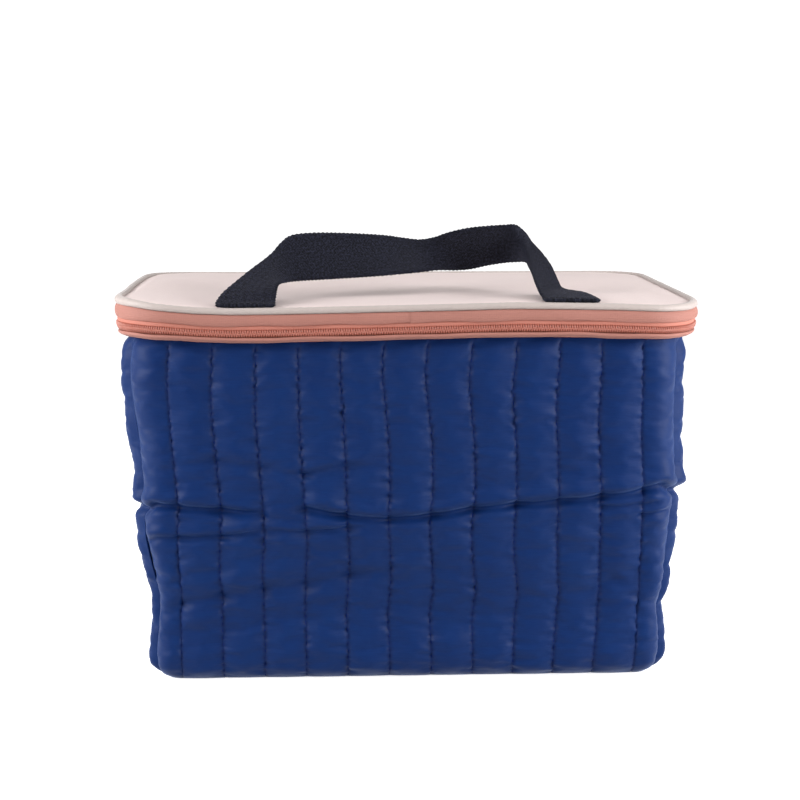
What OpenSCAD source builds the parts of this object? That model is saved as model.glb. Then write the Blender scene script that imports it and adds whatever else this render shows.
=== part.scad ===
// Soft insulated lunch bag: a channel-quilted body, a padded lid that zips shut round the front and
// sides and folds back on a fabric strip, and a webbing handle sewn into the lid's front seam.
// The front is -Y, right is +X, up is +Z. The origin is the centre of the base, on the floor.

/* [Lid outline] */
// Width of the lid over its piping
lid_w = 270; // [230:1:310]
// Depth of the lid over its piping
lid_d = 168; // [150:1:200]
// Radius of the corners in plan
corner_r = 28; // [25:1:34]
// Height of the lid's top above the floor
lid_top_z = 180; // [140:1:220]

/* [Layers] */
// Thickness of a padded wall panel at the crest of a channel
panel_t = 4; // [3.2:0.1:6]
// Thickness of the insulating foam
foam_t = 3.5; // [2:0.1:5]
// Thickness of the wipe-clean lining
lining_t = 0.8; // [0.5:0.1:1.5]
// Thickness of the plain cloth of the lid and the base
cloth_t = 1.2; // [0.8:0.1:2]
// Clearance between neighbouring layers
layer_gap = 0.1; // [0.05:0.05:0.3]
// Distance from the lid's outline in to the top of the quilted walls
wall_setback = 3; // [2.6:0.1:6]

/* [Quilting] */
// Width of one channel, between two rows of stitching
channel_pitch = 19.6; // [16:0.1:22]
// Number of channels across the front panel and its corners
front_channels = 13; // [9:2:13]
// Depth of the stitched grooves
groove_depth = 2.2; // [1:0.1:2.6]
// Clearance between two panels at a corner seam
seam_gap = 0.3; // [0.2:0.1:1]

/* [Zip] */
// Distance from the lid's top down to the middle of the zip
chain_drop = 11.5; // [11:0.5:20]
// Width of the closed chain
chain_w = 4; // [3.6:0.1:5]
// Spacing of the coil's teeth along one side
tooth_pitch = 2.5; // [2:0.1:4]
// Width of one tooth along the zip
tooth_w = 0.9; // [0.6:0.1:0.9]
// How far each tooth crosses the middle of the zip
tooth_reach = 0.5; // [0.3:0.1:0.8]
// Thickness of the coil in front of its tape
coil_t = 1.4; // [1:0.1:2]
// Thickness of the woven tape
tape_t = 0.5; // [0.4:0.1:1]
// Clear strip between the chain and the cloth bands that cover the tapes
tape_show = 1.3; // [1.2:0.1:3]
// Height of the narrow welt under the zip
welt_h = 1; // [0.8:0.1:2]
// Thickness of the cloth bands beside the zip
band_t = 1.2; // [0.8:0.1:2]

/* [Slider] */
// Length of the slider
slider_l = 11; // [9:0.5:14]
// Thickness of the slider's plates
slider_plate_t = 1; // [0.8:0.1:1.5]
// Thickness of the slider's two rolled edges
flange_w = 0.5; // [0.4:0.1:0.6]
// Running clearance of the slider and of its pull
run_gap = 0.3; // [0.2:0.05:0.4]
// Length of the pull, from its eye to its tip
pull_l = 22; // [15:1:30]
// Width of the pull
pull_w = 5.2; // [4.6:0.1:8]
// Thickness of the pull
pull_t = 1.1; // [0.8:0.1:1.4]

/* [Piping and handle] */
// Diameter of the piping round the lid
piping_d = 3; // [2.4:0.1:4]
// Width of the handle's webbing
webbing_w = 25; // [20:1:30]
// Thickness of the webbing
webbing_t = 1.6; // [1.2:0.1:2.4]
// Length of the sewn foot at each end of the webbing
foot_l = 4.2; // [3:0.1:8]

/* [Hidden] */

NAVY = "midnightblue";
BLUSH = "mistyrose";
CORAL = "salmon";
GREY = "silver";
BLACK = "#222228";

// Facets along one corner of the outline
corner_steps = 8;
// Flat strips across one channel
strips = 3;

// Heights, from the lid's top down
chain_z = lid_top_z - chain_drop;
tape_split = 0.3;
band_z = chain_z + chain_w / 2 + tape_show + 2 * layer_gap;
band_top_z = lid_top_z - piping_d - layer_gap;
welt_top_z = chain_z - chain_w / 2 - tape_show + layer_gap;
welt_z = welt_top_z - welt_h;
wall_top_z = welt_z - 2 * layer_gap;

// Insets from the lid's outline
skin_inset = 0.3;
band_inner = skin_inset + band_t;
tape_inset = skin_inset + max(coil_t, band_t) + layer_gap;
tape_inner = tape_inset + tape_t;
coil_inner = tape_inset - layer_gap;
coil_outer = coil_inner - coil_t;
piping_inner = piping_d + layer_gap;
foam_inset = panel_t + layer_gap;
lining_inset = foam_inset + foam_t + layer_gap;
cavity_inset = lining_inset + lining_t;
tape_leg_inner = wall_setback + foam_inset + layer_gap;

// How far the walls draw in below their top edge, as fractions of their height and millimetres:
// a round bottom edge, a slight waist above it, and straight upper walls
wall_profile = [[0, 14], [0.015, 10.2], [0.04, 7.6], [0.085, 6.6], [0.14, 7.8], [0.2, 9.2], [0.42, 4],
    [0.66, 1.4], [1, 0]];
function wall_inset(z) = wall_setback + lookup(z / wall_top_z, wall_profile);

// Heights of the floor of the bag
base_inset = wall_inset(0) + panel_t + layer_gap;
base_foam_z = cloth_t + layer_gap;
base_lining_z = base_foam_z + foam_t + layer_gap;
floor_z = base_lining_z + lining_t;
binding_t = 2;
rim_h = 10;
rim_inset = wall_inset(wall_top_z - rim_h) + cavity_inset + layer_gap;

// Straight stretches and corner arc of the outline
half_front = lid_w / 2 - corner_r;
half_side = lid_d / 2 - corner_r;
arc_l = corner_r * PI / 2;
quarter_l = half_front + arc_l + half_side;
front_half_l = front_channels * channel_pitch / 2;

// Slider and pull, which ride on the right side
tail_half_w = chain_w / 2 + run_gap + flange_w;
mouth_flare = 0.5;
slider_y = half_side - slider_l / 2;
plate_x = lid_w / 2 - coil_outer + run_gap;
arch_x = plate_x + slider_plate_t;
arch_l = 6.8;
arch_w = 1.8;
arch_t = 1;
arch_leg = 1.5;
window_h = pull_t + 2 * run_gap;
pull_x = arch_x + window_h / 2;
chain_end_y = slider_y - slider_l / 2 - 2 * run_gap;
chain_half_l = half_front + arc_l + half_side + chain_end_y;
tooth_count = round(chain_half_l / tooth_pitch) * 2;

// Handle: the line of its feet, and the gap that lets the webbing turn on it
foot_y = -lid_d / 2 + piping_d;
foot_z = lid_top_z + layer_gap;
handle_y = foot_y + foot_l + webbing_t / 2 + run_gap;
handle_z = foot_z + webbing_t + 2 * layer_gap;

// ---- Outline of the bag in plan ----

function corner_points(x, y, r, start) =
    [for (i = [0 : corner_steps]) let (a = start + 90 * i / corner_steps) [x + r * cos(a), y + r * sin(a)]];

// The rounded outline, anticlockwise, drawn in by an inset
function outline(inset) = concat(
    corner_points(half_front, half_side, corner_r - inset, 0),
    corner_points(-half_front, half_side, corner_r - inset, 90),
    corner_points(-half_front, -half_side, corner_r - inset, 180),
    corner_points(half_front, -half_side, corner_r - inset, 270));

// A point on the front right quarter, at a distance from the middle of the front
function quarter_point(s, inset) =
    s < half_front ? [s, inset - lid_d / 2]
    : s < half_front + arc_l ? let (a = 90 * (s - half_front) / arc_l, r = corner_r - inset)
        [half_front + r * sin(a), -half_side - r * cos(a)]
    : [lid_w / 2 - inset, s - half_front - arc_l - half_side];

// The same on the whole outline: s runs anticlockwise and may be negative
function outline_point(s, inset) =
    s < 0 ? let (p = outline_point(-s, inset)) [-p.x, p.y]
    : s <= quarter_l ? quarter_point(s, inset)
    : s <= 2 * quarter_l ? let (p = quarter_point(2 * quarter_l - s, inset)) [p.x, -p.y]
    : let (p = outline_point(4 * quarter_l - s, inset)) [-p.x, p.y];

// Direction along the outline there, in degrees from +X
function outline_angle(s) =
    s < 0 ? -outline_angle(-s)
    : s < half_front ? 0
    : s < half_front + arc_l ? 90 * (s - half_front) / arc_l
    : 90;

function raised(points, z) = [for (p = points) [p.x, p.y, z]];

// ---- Building blocks ----

// A flat plate with the bag's outline
module plate(inset, z0, z1) {
    translate([0, 0, z0]) linear_extrude(z1 - z0) polygon(outline(inset));
}

// A band that follows the outline all round
module ring(outer, inner, z0, z1) {
    translate([0, 0, z0]) linear_extrude(z1 - z0) difference() {
        polygon(outline(outer));
        polygon(outline(inner));
    }
}

// Takes away the straight stretch of the back, where the lid folds
module without_back() {
    difference() {
        children();
        translate([-half_front - layer_gap, 0, 0])
            cube([2 * half_front + 2 * layer_gap, lid_d, 2 * lid_top_z]);
    }
}

// Skins a stack of closed loops of points, from the bottom up, as one solid
module skin(loops, faces_of_cap, closed = false) {
    n = len(loops[0]);
    last = len(loops) - 1;
    sides = [for (k = [0 : closed ? last : last - 1]) for (i = [0 : n - 1])
        let (j = (i + 1) % n, up = (k + 1) % (last + 1))
        each [[k * n + i, up * n + i, up * n + j], [k * n + i, up * n + j, k * n + j]]];
    bottom = closed ? [] : faces_of_cap;
    top = closed ? [] : [for (f = faces_of_cap) [for (i = [len(f) - 1 : -1 : 0]) last * n + f[i]]];
    polyhedron([for (loop = loops) each loop], concat(sides, bottom, top), convexity = 8);
}

// Heights at which the walls change their slope, between two limits
function wall_heights(z0, z1) =
    concat([z0], [for (p = wall_profile) if (p[0] * wall_top_z > z0 && p[0] * wall_top_z < z1)
        p[0] * wall_top_z], [z1]);

// A solid that follows the shape of the walls, an inset inside them
module wall_core(inset, z0, z1) {
    loops = [for (z = wall_heights(z0, z1)) raised(outline(wall_inset(z) + inset), z)];
    skin(loops, [[for (i = [0 : len(loops[0]) - 1]) i]]);
}

// One layer of the walls
module wall_layer(inset, t, z0, z1) {
    difference() {
        wall_core(inset, z0, z1);
        wall_core(inset + t, z0 - 1, z1 + 1);
    }
}

// A quilted panel between two places on the outline: each channel is a low pillow between grooves
module quilted_panel(s0, s1) {
    channels = round((s1 - s0) / channel_pitch);
    n = channels * strips;
    step = (s1 - s0 - seam_gap) / n;
    groove = [for (i = [0 : n]) groove_depth * pow(2 * (i % strips) / strips - 1, 2)];
    along = [for (i = [0 : n]) s0 + seam_gap / 2 + i * step];
    loops = [for (z = wall_heights(0, wall_top_z)) raised(concat(
        [for (i = [0 : n]) outline_point(along[i], wall_inset(z) + groove[i])],
        [for (i = [n : -1 : 0]) outline_point(along[i], wall_inset(z) + panel_t)]), z)];
    last = 2 * n + 1;
    skin(loops, [for (i = [0 : n - 1]) [i, i + 1, last - i - 1, last - i]]);
}

// One side of the zip's coil: a cord with teeth that point up (side 1) or down (side -1)
module coil(side) {
    root = chain_z - side * chain_w / 2;
    crown = chain_z - side * (tooth_reach + layer_gap);
    tip = chain_z + side * tooth_reach;
    tooth_t = coil_t - 2 * layer_gap;
    tooth_root = 0.4;
    phase = side > 0 ? 0.25 : 0.75;
    pitch = 2 * chain_half_l / tooth_count;
    intersection() {
        ring(coil_outer, coil_inner, min(root, crown), max(root, crown));
        translate([-lid_w, -lid_d, 0]) cube([2 * lid_w, lid_d + chain_end_y, lid_top_z]);
    }
    for (k = [0 : tooth_count - 1]) {
        s = -chain_half_l + (k + phase) * pitch;
        p = outline_point(s, (coil_outer + coil_inner) / 2);
        translate([p.x, p.y, (crown + tip - side * tooth_root) / 2]) rotate(outline_angle(s))
            cube([tooth_w, tooth_t, abs(tip - crown) + tooth_root], center = true);
    }
}

// ---- Base ----

module front_panel() {
    color(NAVY) quilted_panel(-front_half_l, front_half_l);
}

module back_panel() {
    color(NAVY) quilted_panel(2 * quarter_l - front_half_l, 2 * quarter_l + front_half_l);
}

module right_panel() {
    color(NAVY) quilted_panel(front_half_l, 2 * quarter_l - front_half_l);
}

module left_panel() {
    color(NAVY) quilted_panel(2 * quarter_l + front_half_l, 4 * quarter_l - front_half_l);
}

module bottom_panel() {
    color(NAVY) plate(base_inset, 0, cloth_t);
}

module wall_foam() {
    color("white") wall_layer(foam_inset, foam_t, base_lining_z + layer_gap, wall_top_z);
}

module bottom_foam() {
    color("white") plate(base_inset, base_foam_z, base_foam_z + foam_t);
}

module wall_lining() {
    color(GREY) wall_layer(lining_inset, lining_t, floor_z + layer_gap, wall_top_z);
}

module bottom_lining() {
    color(GREY) plate(base_inset, base_lining_z, floor_z);
}

module bottom_seam_binding() {
    outer = wall_inset(floor_z) + cavity_inset + 2 * layer_gap;
    color(BLACK) ring(outer, outer + binding_t, floor_z + layer_gap, floor_z + binding_t);
}

// Cloth folded over the top edge of the lining
module rim_binding() {
    color(CORAL) union() {
        ring(rim_inset, rim_inset + lining_t, wall_top_z - rim_h, wall_top_z + layer_gap + lining_t);
        ring(tape_leg_inner + layer_gap, rim_inset + lining_t, wall_top_z + layer_gap,
            wall_top_z + layer_gap + lining_t);
    }
}

module lower_zip_welt() {
    color(CORAL) without_back() ring(skin_inset, tape_inset - layer_gap, welt_z, welt_top_z);
}

// The tape stands behind the coil and turns in over the top of the walls
module lower_zip_tape() {
    color(CORAL) without_back() union() {
        ring(tape_inset, tape_inner, wall_top_z + layer_gap, chain_z - tape_split);
        ring(tape_inset, tape_leg_inner, wall_top_z + layer_gap, wall_top_z + layer_gap + tape_t);
    }
}

module lower_coil() {
    color(CORAL) coil(1);
}

// Bars of thread that stop the slider at each end of its chain
module zip_end_stops() {
    bar = [1.2, coil_t - 4 * layer_gap, chain_w / 2];
    places = [quarter_l + half_side + run_gap + bar.x / 2, -(quarter_l + chain_end_y + run_gap + bar.x / 2)];
    color(BLACK) for (s = places) {
        p = outline_point(s, tape_inset - layer_gap - bar.y / 2);
        translate([p.x, p.y, chain_z - tape_split - bar.z / 2]) cube([bar.y, bar.x, bar.z], center = true);
    }
}

// The lower half of the cloth that joins the lid to the back
module hinge_strip() {
    back_y = lid_d / 2;
    color(CORAL) union() {
        translate([-half_front, back_y - band_inner, wall_top_z + layer_gap])
            cube([2 * half_front, band_t, chain_z - tape_split - wall_top_z - layer_gap]);
        translate([-half_front, back_y - tape_leg_inner, wall_top_z + layer_gap])
            cube([2 * half_front, tape_leg_inner - band_inner + band_t / 2, band_t]);
    }
}

// ---- Lid ----

module lid_panel() {
    color(BLUSH) plate(piping_inner, lid_top_z - cloth_t, lid_top_z);
}

module lid_foam() {
    top = lid_top_z - cloth_t - layer_gap;
    color("white") plate(piping_inner, top - foam_t, top);
}

module lid_lining() {
    top = lid_top_z - cloth_t - foam_t - 2 * layer_gap;
    color(GREY) plate(piping_inner, top - lining_t, top);
}

module lid_seam_binding() {
    top = lid_top_z - cloth_t - foam_t - lining_t - 3 * layer_gap;
    outer = tape_inner + layer_gap;
    color(BLACK) ring(outer, outer + binding_t, top - binding_t, top);
}

module lid_piping() {
    sides = 8;
    r = piping_d / 2;
    loops = [for (i = [0 : sides - 1]) let (a = 360 * i / sides)
        raised(outline(r - r * cos(a)), lid_top_z - r + r * sin(a))];
    color(GREY) skin(loops, [], closed = true);
}

// The band above the zip, with the upper half of the hinge at the back
module lid_band() {
    hinge_z = chain_z + tape_split;
    color(CORAL) union() {
        ring(skin_inset, band_inner, band_z, band_top_z);
        translate([-half_front, lid_d / 2 - band_inner, hinge_z])
            cube([2 * half_front, band_t, band_top_z - hinge_z]);
    }
}

module upper_zip_tape() {
    color(CORAL) without_back() ring(tape_inset, tape_inner, chain_z + tape_split, band_top_z);
}

module upper_coil() {
    color(CORAL) coil(-1);
}

// ---- Handle ----

module handle_foot(x) {
    color(BLACK) translate([x - webbing_w / 2, foot_y, foot_z]) cube([webbing_w, foot_l, webbing_t]);
}

module handle_foot_left() {
    handle_foot(left_foot_x);
}

module handle_foot_right() {
    handle_foot(right_foot_x);
}

// A row of stitches across each foot
module handle_stitches() {
    stitch = [2, 0.5, 0.3];
    count = 7;
    pitch = (webbing_w - 2 * stitch.x) / (count - 1);
    color(BLACK) for (x = [left_foot_x, right_foot_x]) for (i = [0 : count - 1])
        translate([x + (i - (count - 1) / 2) * pitch - stitch.x / 2, foot_y + foot_l / 2, foot_z + webbing_t])
            cube(stitch);
}

// The strap's two edges, from the left foot to the right, measured from the handle's turning line
strap_outer = [[-85, 0, 0], [-78, 17.5, 8], [-68.5, 29, 16], [-58.5, 34, 24.5], [-49, 35.5, 29],
    [-31, 39.5, 29], [-12.5, 45, 27], [4.5, 51, 24.5], [18, 53, 26.5], [36, 52, 30.5], [48, 49.5, 31.5],
    [57, 45.5, 30], [64, 41, 21.5], [68, 34, 13.5], [73.5, 22, 6.5], [85, 0, 0]];
strap_inner = [[-60, 0, 0], [-58, 4, 3], [-57.5, 9.5, 6], [-55.5, 15, 8.5], [-46.5, 20, 9],
    [-30.5, 23, 9.5], [-12.5, 26, 10.5], [4, 29, 11], [19, 33, 11], [37, 34, 12], [47.5, 31.5, 14],
    [55.5, 26.5, 14.5], [58, 19.5, 11], [59, 12, 6.5], [59.5, 5, 2.5], [60, 0, 0]];
// Curved steps between two of those points
strap_steps = 2;
left_foot_x = (strap_outer[0].x + strap_inner[0].x) / 2;
right_foot_x = (strap_outer[len(strap_outer) - 1].x + strap_inner[len(strap_inner) - 1].x) / 2;

// A smooth curve through a list of points
function spline_point(p, i, t) = let (last = len(p) - 1, a = p[max(i - 1, 0)], b = p[i],
    c = p[min(i + 1, last)], d = p[min(i + 2, last)])
    (2 * b + (c - a) * t + (2 * a - 5 * b + 4 * c - d) * t * t + (3 * b - a - 3 * c + d) * t * t * t) / 2;
function spline(p) = concat([for (i = [0 : len(p) - 2]) for (k = [0 : strap_steps - 1])
    spline_point(p, i, k / strap_steps)], [p[len(p) - 1]]);

function unit(v) = v / norm(v);

// The free part of the webbing: a ribbon between its two edges, with a soft bend at each foot
module handle_strap() {
    outer = spline(strap_outer);
    inner = spline(strap_inner);
    last = len(outer) - 1;
    half_t = [for (i = [0 : last]) let (along = (outer[min(i + 1, last)] + inner[min(i + 1, last)]
        - outer[max(i - 1, 0)] - inner[max(i - 1, 0)]), across = inner[i] - outer[i])
        unit(cross(along, across)) * webbing_t / 2];
    loops = [for (i = [0 : last]) let (middle = (outer[i] + inner[i]) / 2,
        half = unit(inner[i] - outer[i]) * webbing_w / 2)
        [middle - half + half_t[i], middle - half - half_t[i], middle + half - half_t[i],
            middle + half + half_t[i]]];
    color(BLACK) translate([0, handle_y, handle_z]) union() {
        skin(loops, [[0, 1, 2, 3]]);
        for (x = [left_foot_x, right_foot_x])
            translate([x - webbing_w / 2, 0, 0]) rotate([0, 90, 0]) cylinder(d = webbing_t, h = webbing_w, $fn = 24);
    }
}

// ---- Slider and pull ----

// The plate's outline along and across the zip: a narrow tail and a wide notched mouth
mouth_l = 3;
notch = 0.8;
chamfer = 0.6;
function slider_outline(tail) = let (l = slider_l / 2, mouth = tail + mouth_flare)
    [[-l, -tail + chamfer], [-l + chamfer, -tail], [0, -tail], [l - mouth_l, -mouth],
        [l - chamfer, -mouth], [l, -mouth + chamfer], [l - notch, 0], [l, mouth - chamfer],
        [l - chamfer, mouth], [l - mouth_l, mouth], [0, tail], [-l + chamfer, tail],
        [-l, tail - chamfer]];

// Stands a drawing of the zip's face upright on the right side, at a distance from the middle
module on_right_side(x, t) {
    translate([x, slider_y, chain_z]) rotate([90, 0, 90]) linear_extrude(t) children();
}

module slider_body() {
    flange_depth = tape_inset - coil_outer;
    flange_l = slider_l - 4 * chamfer;
    root = -slider_plate_t / 2;
    color(GREY) union() {
        on_right_side(plate_x, slider_plate_t) polygon(slider_outline(tail_half_w));
        for (side = [-1, 1])
            on_right_side(plate_x - flange_depth, flange_depth + slider_plate_t / 2)
                translate([0, side * (tail_half_w - flange_w / 2)])
                    square([flange_l, flange_w], center = true);
        translate([arch_x, slider_y, chain_z - arch_w / 2]) linear_extrude(arch_w) difference() {
            polygon([[root, -arch_l / 2], [window_h, -arch_l / 2],
                [window_h + arch_t, -arch_l / 2 + arch_t], [window_h + arch_t, arch_l / 2 - arch_t],
                [window_h, arch_l / 2], [root, arch_l / 2]]);
            translate([0, -arch_l / 2 + arch_leg]) square([window_h, arch_l - 2 * arch_leg]);
        }
    }
}

module slider_back_plate() {
    color(GREY) on_right_side(lid_w / 2 - tape_inner - run_gap - slider_plate_t, slider_plate_t)
        polygon(slider_outline(tail_half_w - flange_w));
}

// A flat tab whose end bar lies under the slider's arch
module pull_tab() {
    eye_l = norm([arch_l / 2, window_h / 2 + arch_t]) + run_gap;
    eye_w = arch_w + 2 * run_gap;
    color(GREY) union() {
        translate([pull_x - pull_t / 2, slider_y, chain_z]) rotate([90, 0, 90]) linear_extrude(pull_t)
            difference() {
                union() {
                    translate([-pull_l + pull_w / 2, -pull_w / 2]) square([pull_l - pull_w / 2, pull_w]);
                    translate([-pull_l + pull_w / 2, 0]) circle(d = pull_w, $fn = 32);
                }
                translate([-eye_l, -eye_w / 2]) square([eye_l - pull_t / 4, eye_w]);
                translate([-pull_l + pull_w / 2, 0]) circle(d = pull_w / 3, $fn = 24);
            }
        translate([pull_x, slider_y, chain_z - pull_w / 2]) cylinder(d = pull_t, h = pull_w, $fn = 24);
    }
}

front_panel();
back_panel();
left_panel();
right_panel();
bottom_panel();
wall_foam();
bottom_foam();
wall_lining();
bottom_lining();
bottom_seam_binding();
rim_binding();
lower_zip_welt();
lower_zip_tape();
lower_coil();
zip_end_stops();
hinge_strip();
lid_panel();
lid_foam();
lid_lining();
lid_seam_binding();
lid_piping();
lid_band();
upper_zip_tape();
upper_coil();
handle_foot_left();
handle_foot_right();
handle_stitches();
handle_strap();
slider_body();
slider_back_plate();
pull_tab();
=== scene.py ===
"""Dresses a soft insulated lunch bag: channel-quilted walls, a zip-up lid and a webbing handle."""

import logging
import math
from collections.abc import Callable, Sequence
from dataclasses import dataclass
from enum import Enum
from typing import Any

import bmesh
import bpy
import numpy as np
from mathutils import Matrix, Vector


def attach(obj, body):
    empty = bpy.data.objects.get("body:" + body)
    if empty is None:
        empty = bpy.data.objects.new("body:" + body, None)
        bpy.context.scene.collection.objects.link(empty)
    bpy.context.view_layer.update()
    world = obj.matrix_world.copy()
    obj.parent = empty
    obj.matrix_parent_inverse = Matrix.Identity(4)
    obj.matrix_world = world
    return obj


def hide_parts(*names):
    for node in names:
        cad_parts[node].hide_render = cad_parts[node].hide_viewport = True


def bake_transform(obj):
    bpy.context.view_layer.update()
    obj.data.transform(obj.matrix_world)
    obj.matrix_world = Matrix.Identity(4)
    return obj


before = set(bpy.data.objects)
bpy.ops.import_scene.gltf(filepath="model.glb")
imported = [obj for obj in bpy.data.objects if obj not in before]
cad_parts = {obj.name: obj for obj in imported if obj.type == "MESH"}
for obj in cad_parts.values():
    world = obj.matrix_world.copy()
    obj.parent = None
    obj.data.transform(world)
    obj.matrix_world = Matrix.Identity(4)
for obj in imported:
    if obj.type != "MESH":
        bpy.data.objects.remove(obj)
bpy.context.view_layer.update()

LOG = logging.getLogger("lunch_bag")
MM = 0.001
RIM_Z = 164.0
Array = np.ndarray
Colour = tuple[float, float, float]


class Body(Enum):
    """The moving bodies that the new pieces ride on."""

    BASE = "base"
    LID = "lid"
    HANDLE = "handle"


# ---------------------------------------------------------------- shader maths


class Value:
    """A shader socket that takes part in Python arithmetic."""

    def __init__(self, maker: "NodeMaker", socket: bpy.types.NodeSocket) -> None:
        """Keeps the socket and the maker that adds nodes to its tree."""
        self.maker = maker
        self.socket = socket

    def _math(self, operation: str, *others: Any) -> "Value":
        """Adds one Math node.

        Args:
            operation: Blender's name of the operation.
            others: The values after this one.

        Returns:
            The node's result.
        """
        return self.maker.math(operation, self, *others)

    def __add__(self, other: Any) -> "Value":
        """Sum."""
        return self._math("ADD", other)

    __radd__ = __add__

    def __mul__(self, other: Any) -> "Value":
        """Product."""
        return self._math("MULTIPLY", other)

    __rmul__ = __mul__

    def __sub__(self, other: Any) -> "Value":
        """Difference."""
        return self._math("SUBTRACT", other)

    def __rsub__(self, other: Any) -> "Value":
        """Difference from a number on the left."""
        return self.maker.math("SUBTRACT", other, self)

    def __truediv__(self, other: Any) -> "Value":
        """Quotient."""
        return self._math("DIVIDE", other)

    def __abs__(self) -> "Value":
        """Size without its sign."""
        return self._math("ABSOLUTE")

    def sine(self) -> "Value":
        """Sine of the value in radians."""
        return self._math("SINE")

    def fraction(self) -> "Value":
        """The part after the decimal point."""
        return self._math("FRACT")

    def floor(self) -> "Value":
        """The whole number below."""
        return self._math("FLOOR")

    def at_least(self, other: Any) -> "Value":
        """The larger of two values."""
        return self._math("MAXIMUM", other)


class NodeMaker:
    """Builds the node tree of one material or of the world."""

    def __init__(self, owner: bpy.types.Material | bpy.types.World) -> None:
        """Empties the tree of its owner.

        Args:
            owner: The new material or world.
        """
        self.owner = owner
        owner.use_nodes = True
        self.tree = owner.node_tree
        self.tree.nodes.clear()

    @classmethod
    def material(cls, name: str) -> "NodeMaker":
        """Starts an empty material.

        Args:
            name: The finish's name.

        Returns:
            Its maker.
        """
        return cls(bpy.data.materials.new(name))

    def node(
        self,
        kind: str,
        settings: dict[str, Any] | None = None,
        sockets: dict[str | int, Any] | None = None,
    ) -> bpy.types.Node:
        """Adds one node.

        Args:
            kind: Blender's type name.
            settings: Properties of the node, set first.
            sockets: Values or links for its inputs, by name or by number.

        Returns:
            The new node.
        """
        new = self.tree.nodes.new(kind)
        for key, setting in (settings or {}).items():
            setattr(new, key, setting)
        for key, value in (sockets or {}).items():
            self.feed(new.inputs[key], value)
        return new

    def feed(self, target: bpy.types.NodeSocket, value: Any) -> None:
        """Links or sets one input."""
        if isinstance(value, Value):
            value = value.socket
        if isinstance(value, bpy.types.NodeSocket):
            self.tree.links.new(value, target)
        else:
            target.default_value = value

    def math(self, operation: str, *terms: Any) -> Value:
        """Adds a Math node on values and numbers."""
        made = self.node("ShaderNodeMath", {"operation": operation}, dict(enumerate(terms)))
        return Value(self, made.outputs[0])

    def mix(self, factor: Any, first: Any, second: Any) -> bpy.types.NodeSocket:
        """Mixes two colours.

        Args:
            factor: Nothing gives the first colour, one the second.
            first: A colour or a link.
            second: A colour or a link.

        Returns:
            The mixed colour's socket.
        """
        made = self.node(
            "ShaderNodeMix",
            {"data_type": "RGBA", "clamp_factor": True},
            {0: factor, 6: opaque(first), 7: opaque(second)},
        )
        return made.outputs[2]

    def coordinates(self, on_uv: bool) -> bpy.types.NodeSocket:
        """The piece's own place: its UV map in millimetres, or its object space in millimetres."""
        source = self.node("ShaderNodeTexCoord")
        place = source.outputs["UV" if on_uv else "Object"]
        scale = 1.0 if on_uv else 1.0 / MM
        made = self.node("ShaderNodeVectorMath", {"operation": "SCALE"}, {0: place, 3: scale})
        return made.outputs[0]

    def split(self, vector: bpy.types.NodeSocket) -> tuple[Value, Value, Value]:
        """The three parts of a vector."""
        made = self.node("ShaderNodeSeparateXYZ", None, {0: vector})
        return tuple(Value(self, made.outputs[i]) for i in range(3))

    def stretch(self, vector: bpy.types.NodeSocket, by: Sequence[float]) -> bpy.types.NodeSocket:
        """A vector scaled apart along its axes."""
        made = self.node("ShaderNodeVectorMath", {"operation": "MULTIPLY"}, {0: vector, 1: tuple(by)})
        return made.outputs[0]

    def noise(self, vector: bpy.types.NodeSocket, scale: float, detail: float = 3.0) -> Value:
        """Soft noise from nothing to one.

        Args:
            vector: Place in millimetres.
            scale: Patches to a millimetre.
            detail: Levels of finer noise.
        """
        sockets = {"Vector": vector, "Scale": scale, "Detail": detail, "Roughness": 0.55}
        return Value(self, self.node("ShaderNodeTexNoise", None, sockets).outputs[0])

    def bump(self, height: Value, strength: float, distance: float) -> bpy.types.NodeSocket:
        """A normal from a height in millimetres."""
        made = self.node(
            "ShaderNodeBump", None, {"Strength": strength, "Distance": distance * MM, "Height": height}
        )
        return made.outputs[0]

    def cells(self, vector: bpy.types.NodeSocket, scale: float) -> Value:
        """Distance from the middle of the nearest of many small cells.

        Args:
            vector: Place in millimetres.
            scale: Cells to a millimetre.
        """
        made = self.node("ShaderNodeTexVoronoi", None, {"Vector": vector, "Scale": scale})
        return Value(self, made.outputs["Distance"])

    def seen(self) -> Value:
        """One for rays that the camera follows, straight, off a gloss or through glass, else nothing."""
        rays = self.node("ShaderNodeLightPath").outputs
        seen = Value(self, rays["Is Camera Ray"]).at_least(Value(self, rays["Is Glossy Ray"]))
        return seen.at_least(Value(self, rays["Is Transmission Ray"]))

    def surface(self, **sockets: Any) -> bpy.types.Material:
        """Ends the tree in a Principled shader.

        Args:
            sockets: Inputs with underscores for spaces.

        Returns:
            The finished material.
        """
        shader = self.node(
            "ShaderNodeBsdfPrincipled", None, {key.replace("_", " "): v for key, v in sockets.items()}
        )
        self.node("ShaderNodeOutputMaterial", None, {"Surface": shader.outputs[0]})
        return self.owner


def opaque(colour: Any) -> Any:
    """Adds a full alpha to a plain colour and leaves a socket alone."""
    if isinstance(colour, (tuple, list)) and len(colour) == 3:
        return (*colour, 1.0)
    return colour


def srgb(red: int, green: int, blue: int) -> Colour:
    """Linear colour of a screen colour in 0 to 255."""
    parts = []
    for value in (red, green, blue):
        share = value / 255
        parts.append(share / 12.92 if share <= 0.04045 else ((share + 0.055) / 1.055) ** 2.4)
    return tuple(parts)


def shade(colour: Colour, by: float) -> Colour:
    """A colour made lighter or darker by a factor."""
    return tuple(min(part * by, 1.0) for part in colour)


# ---------------------------------------------------------------- finishes


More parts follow.
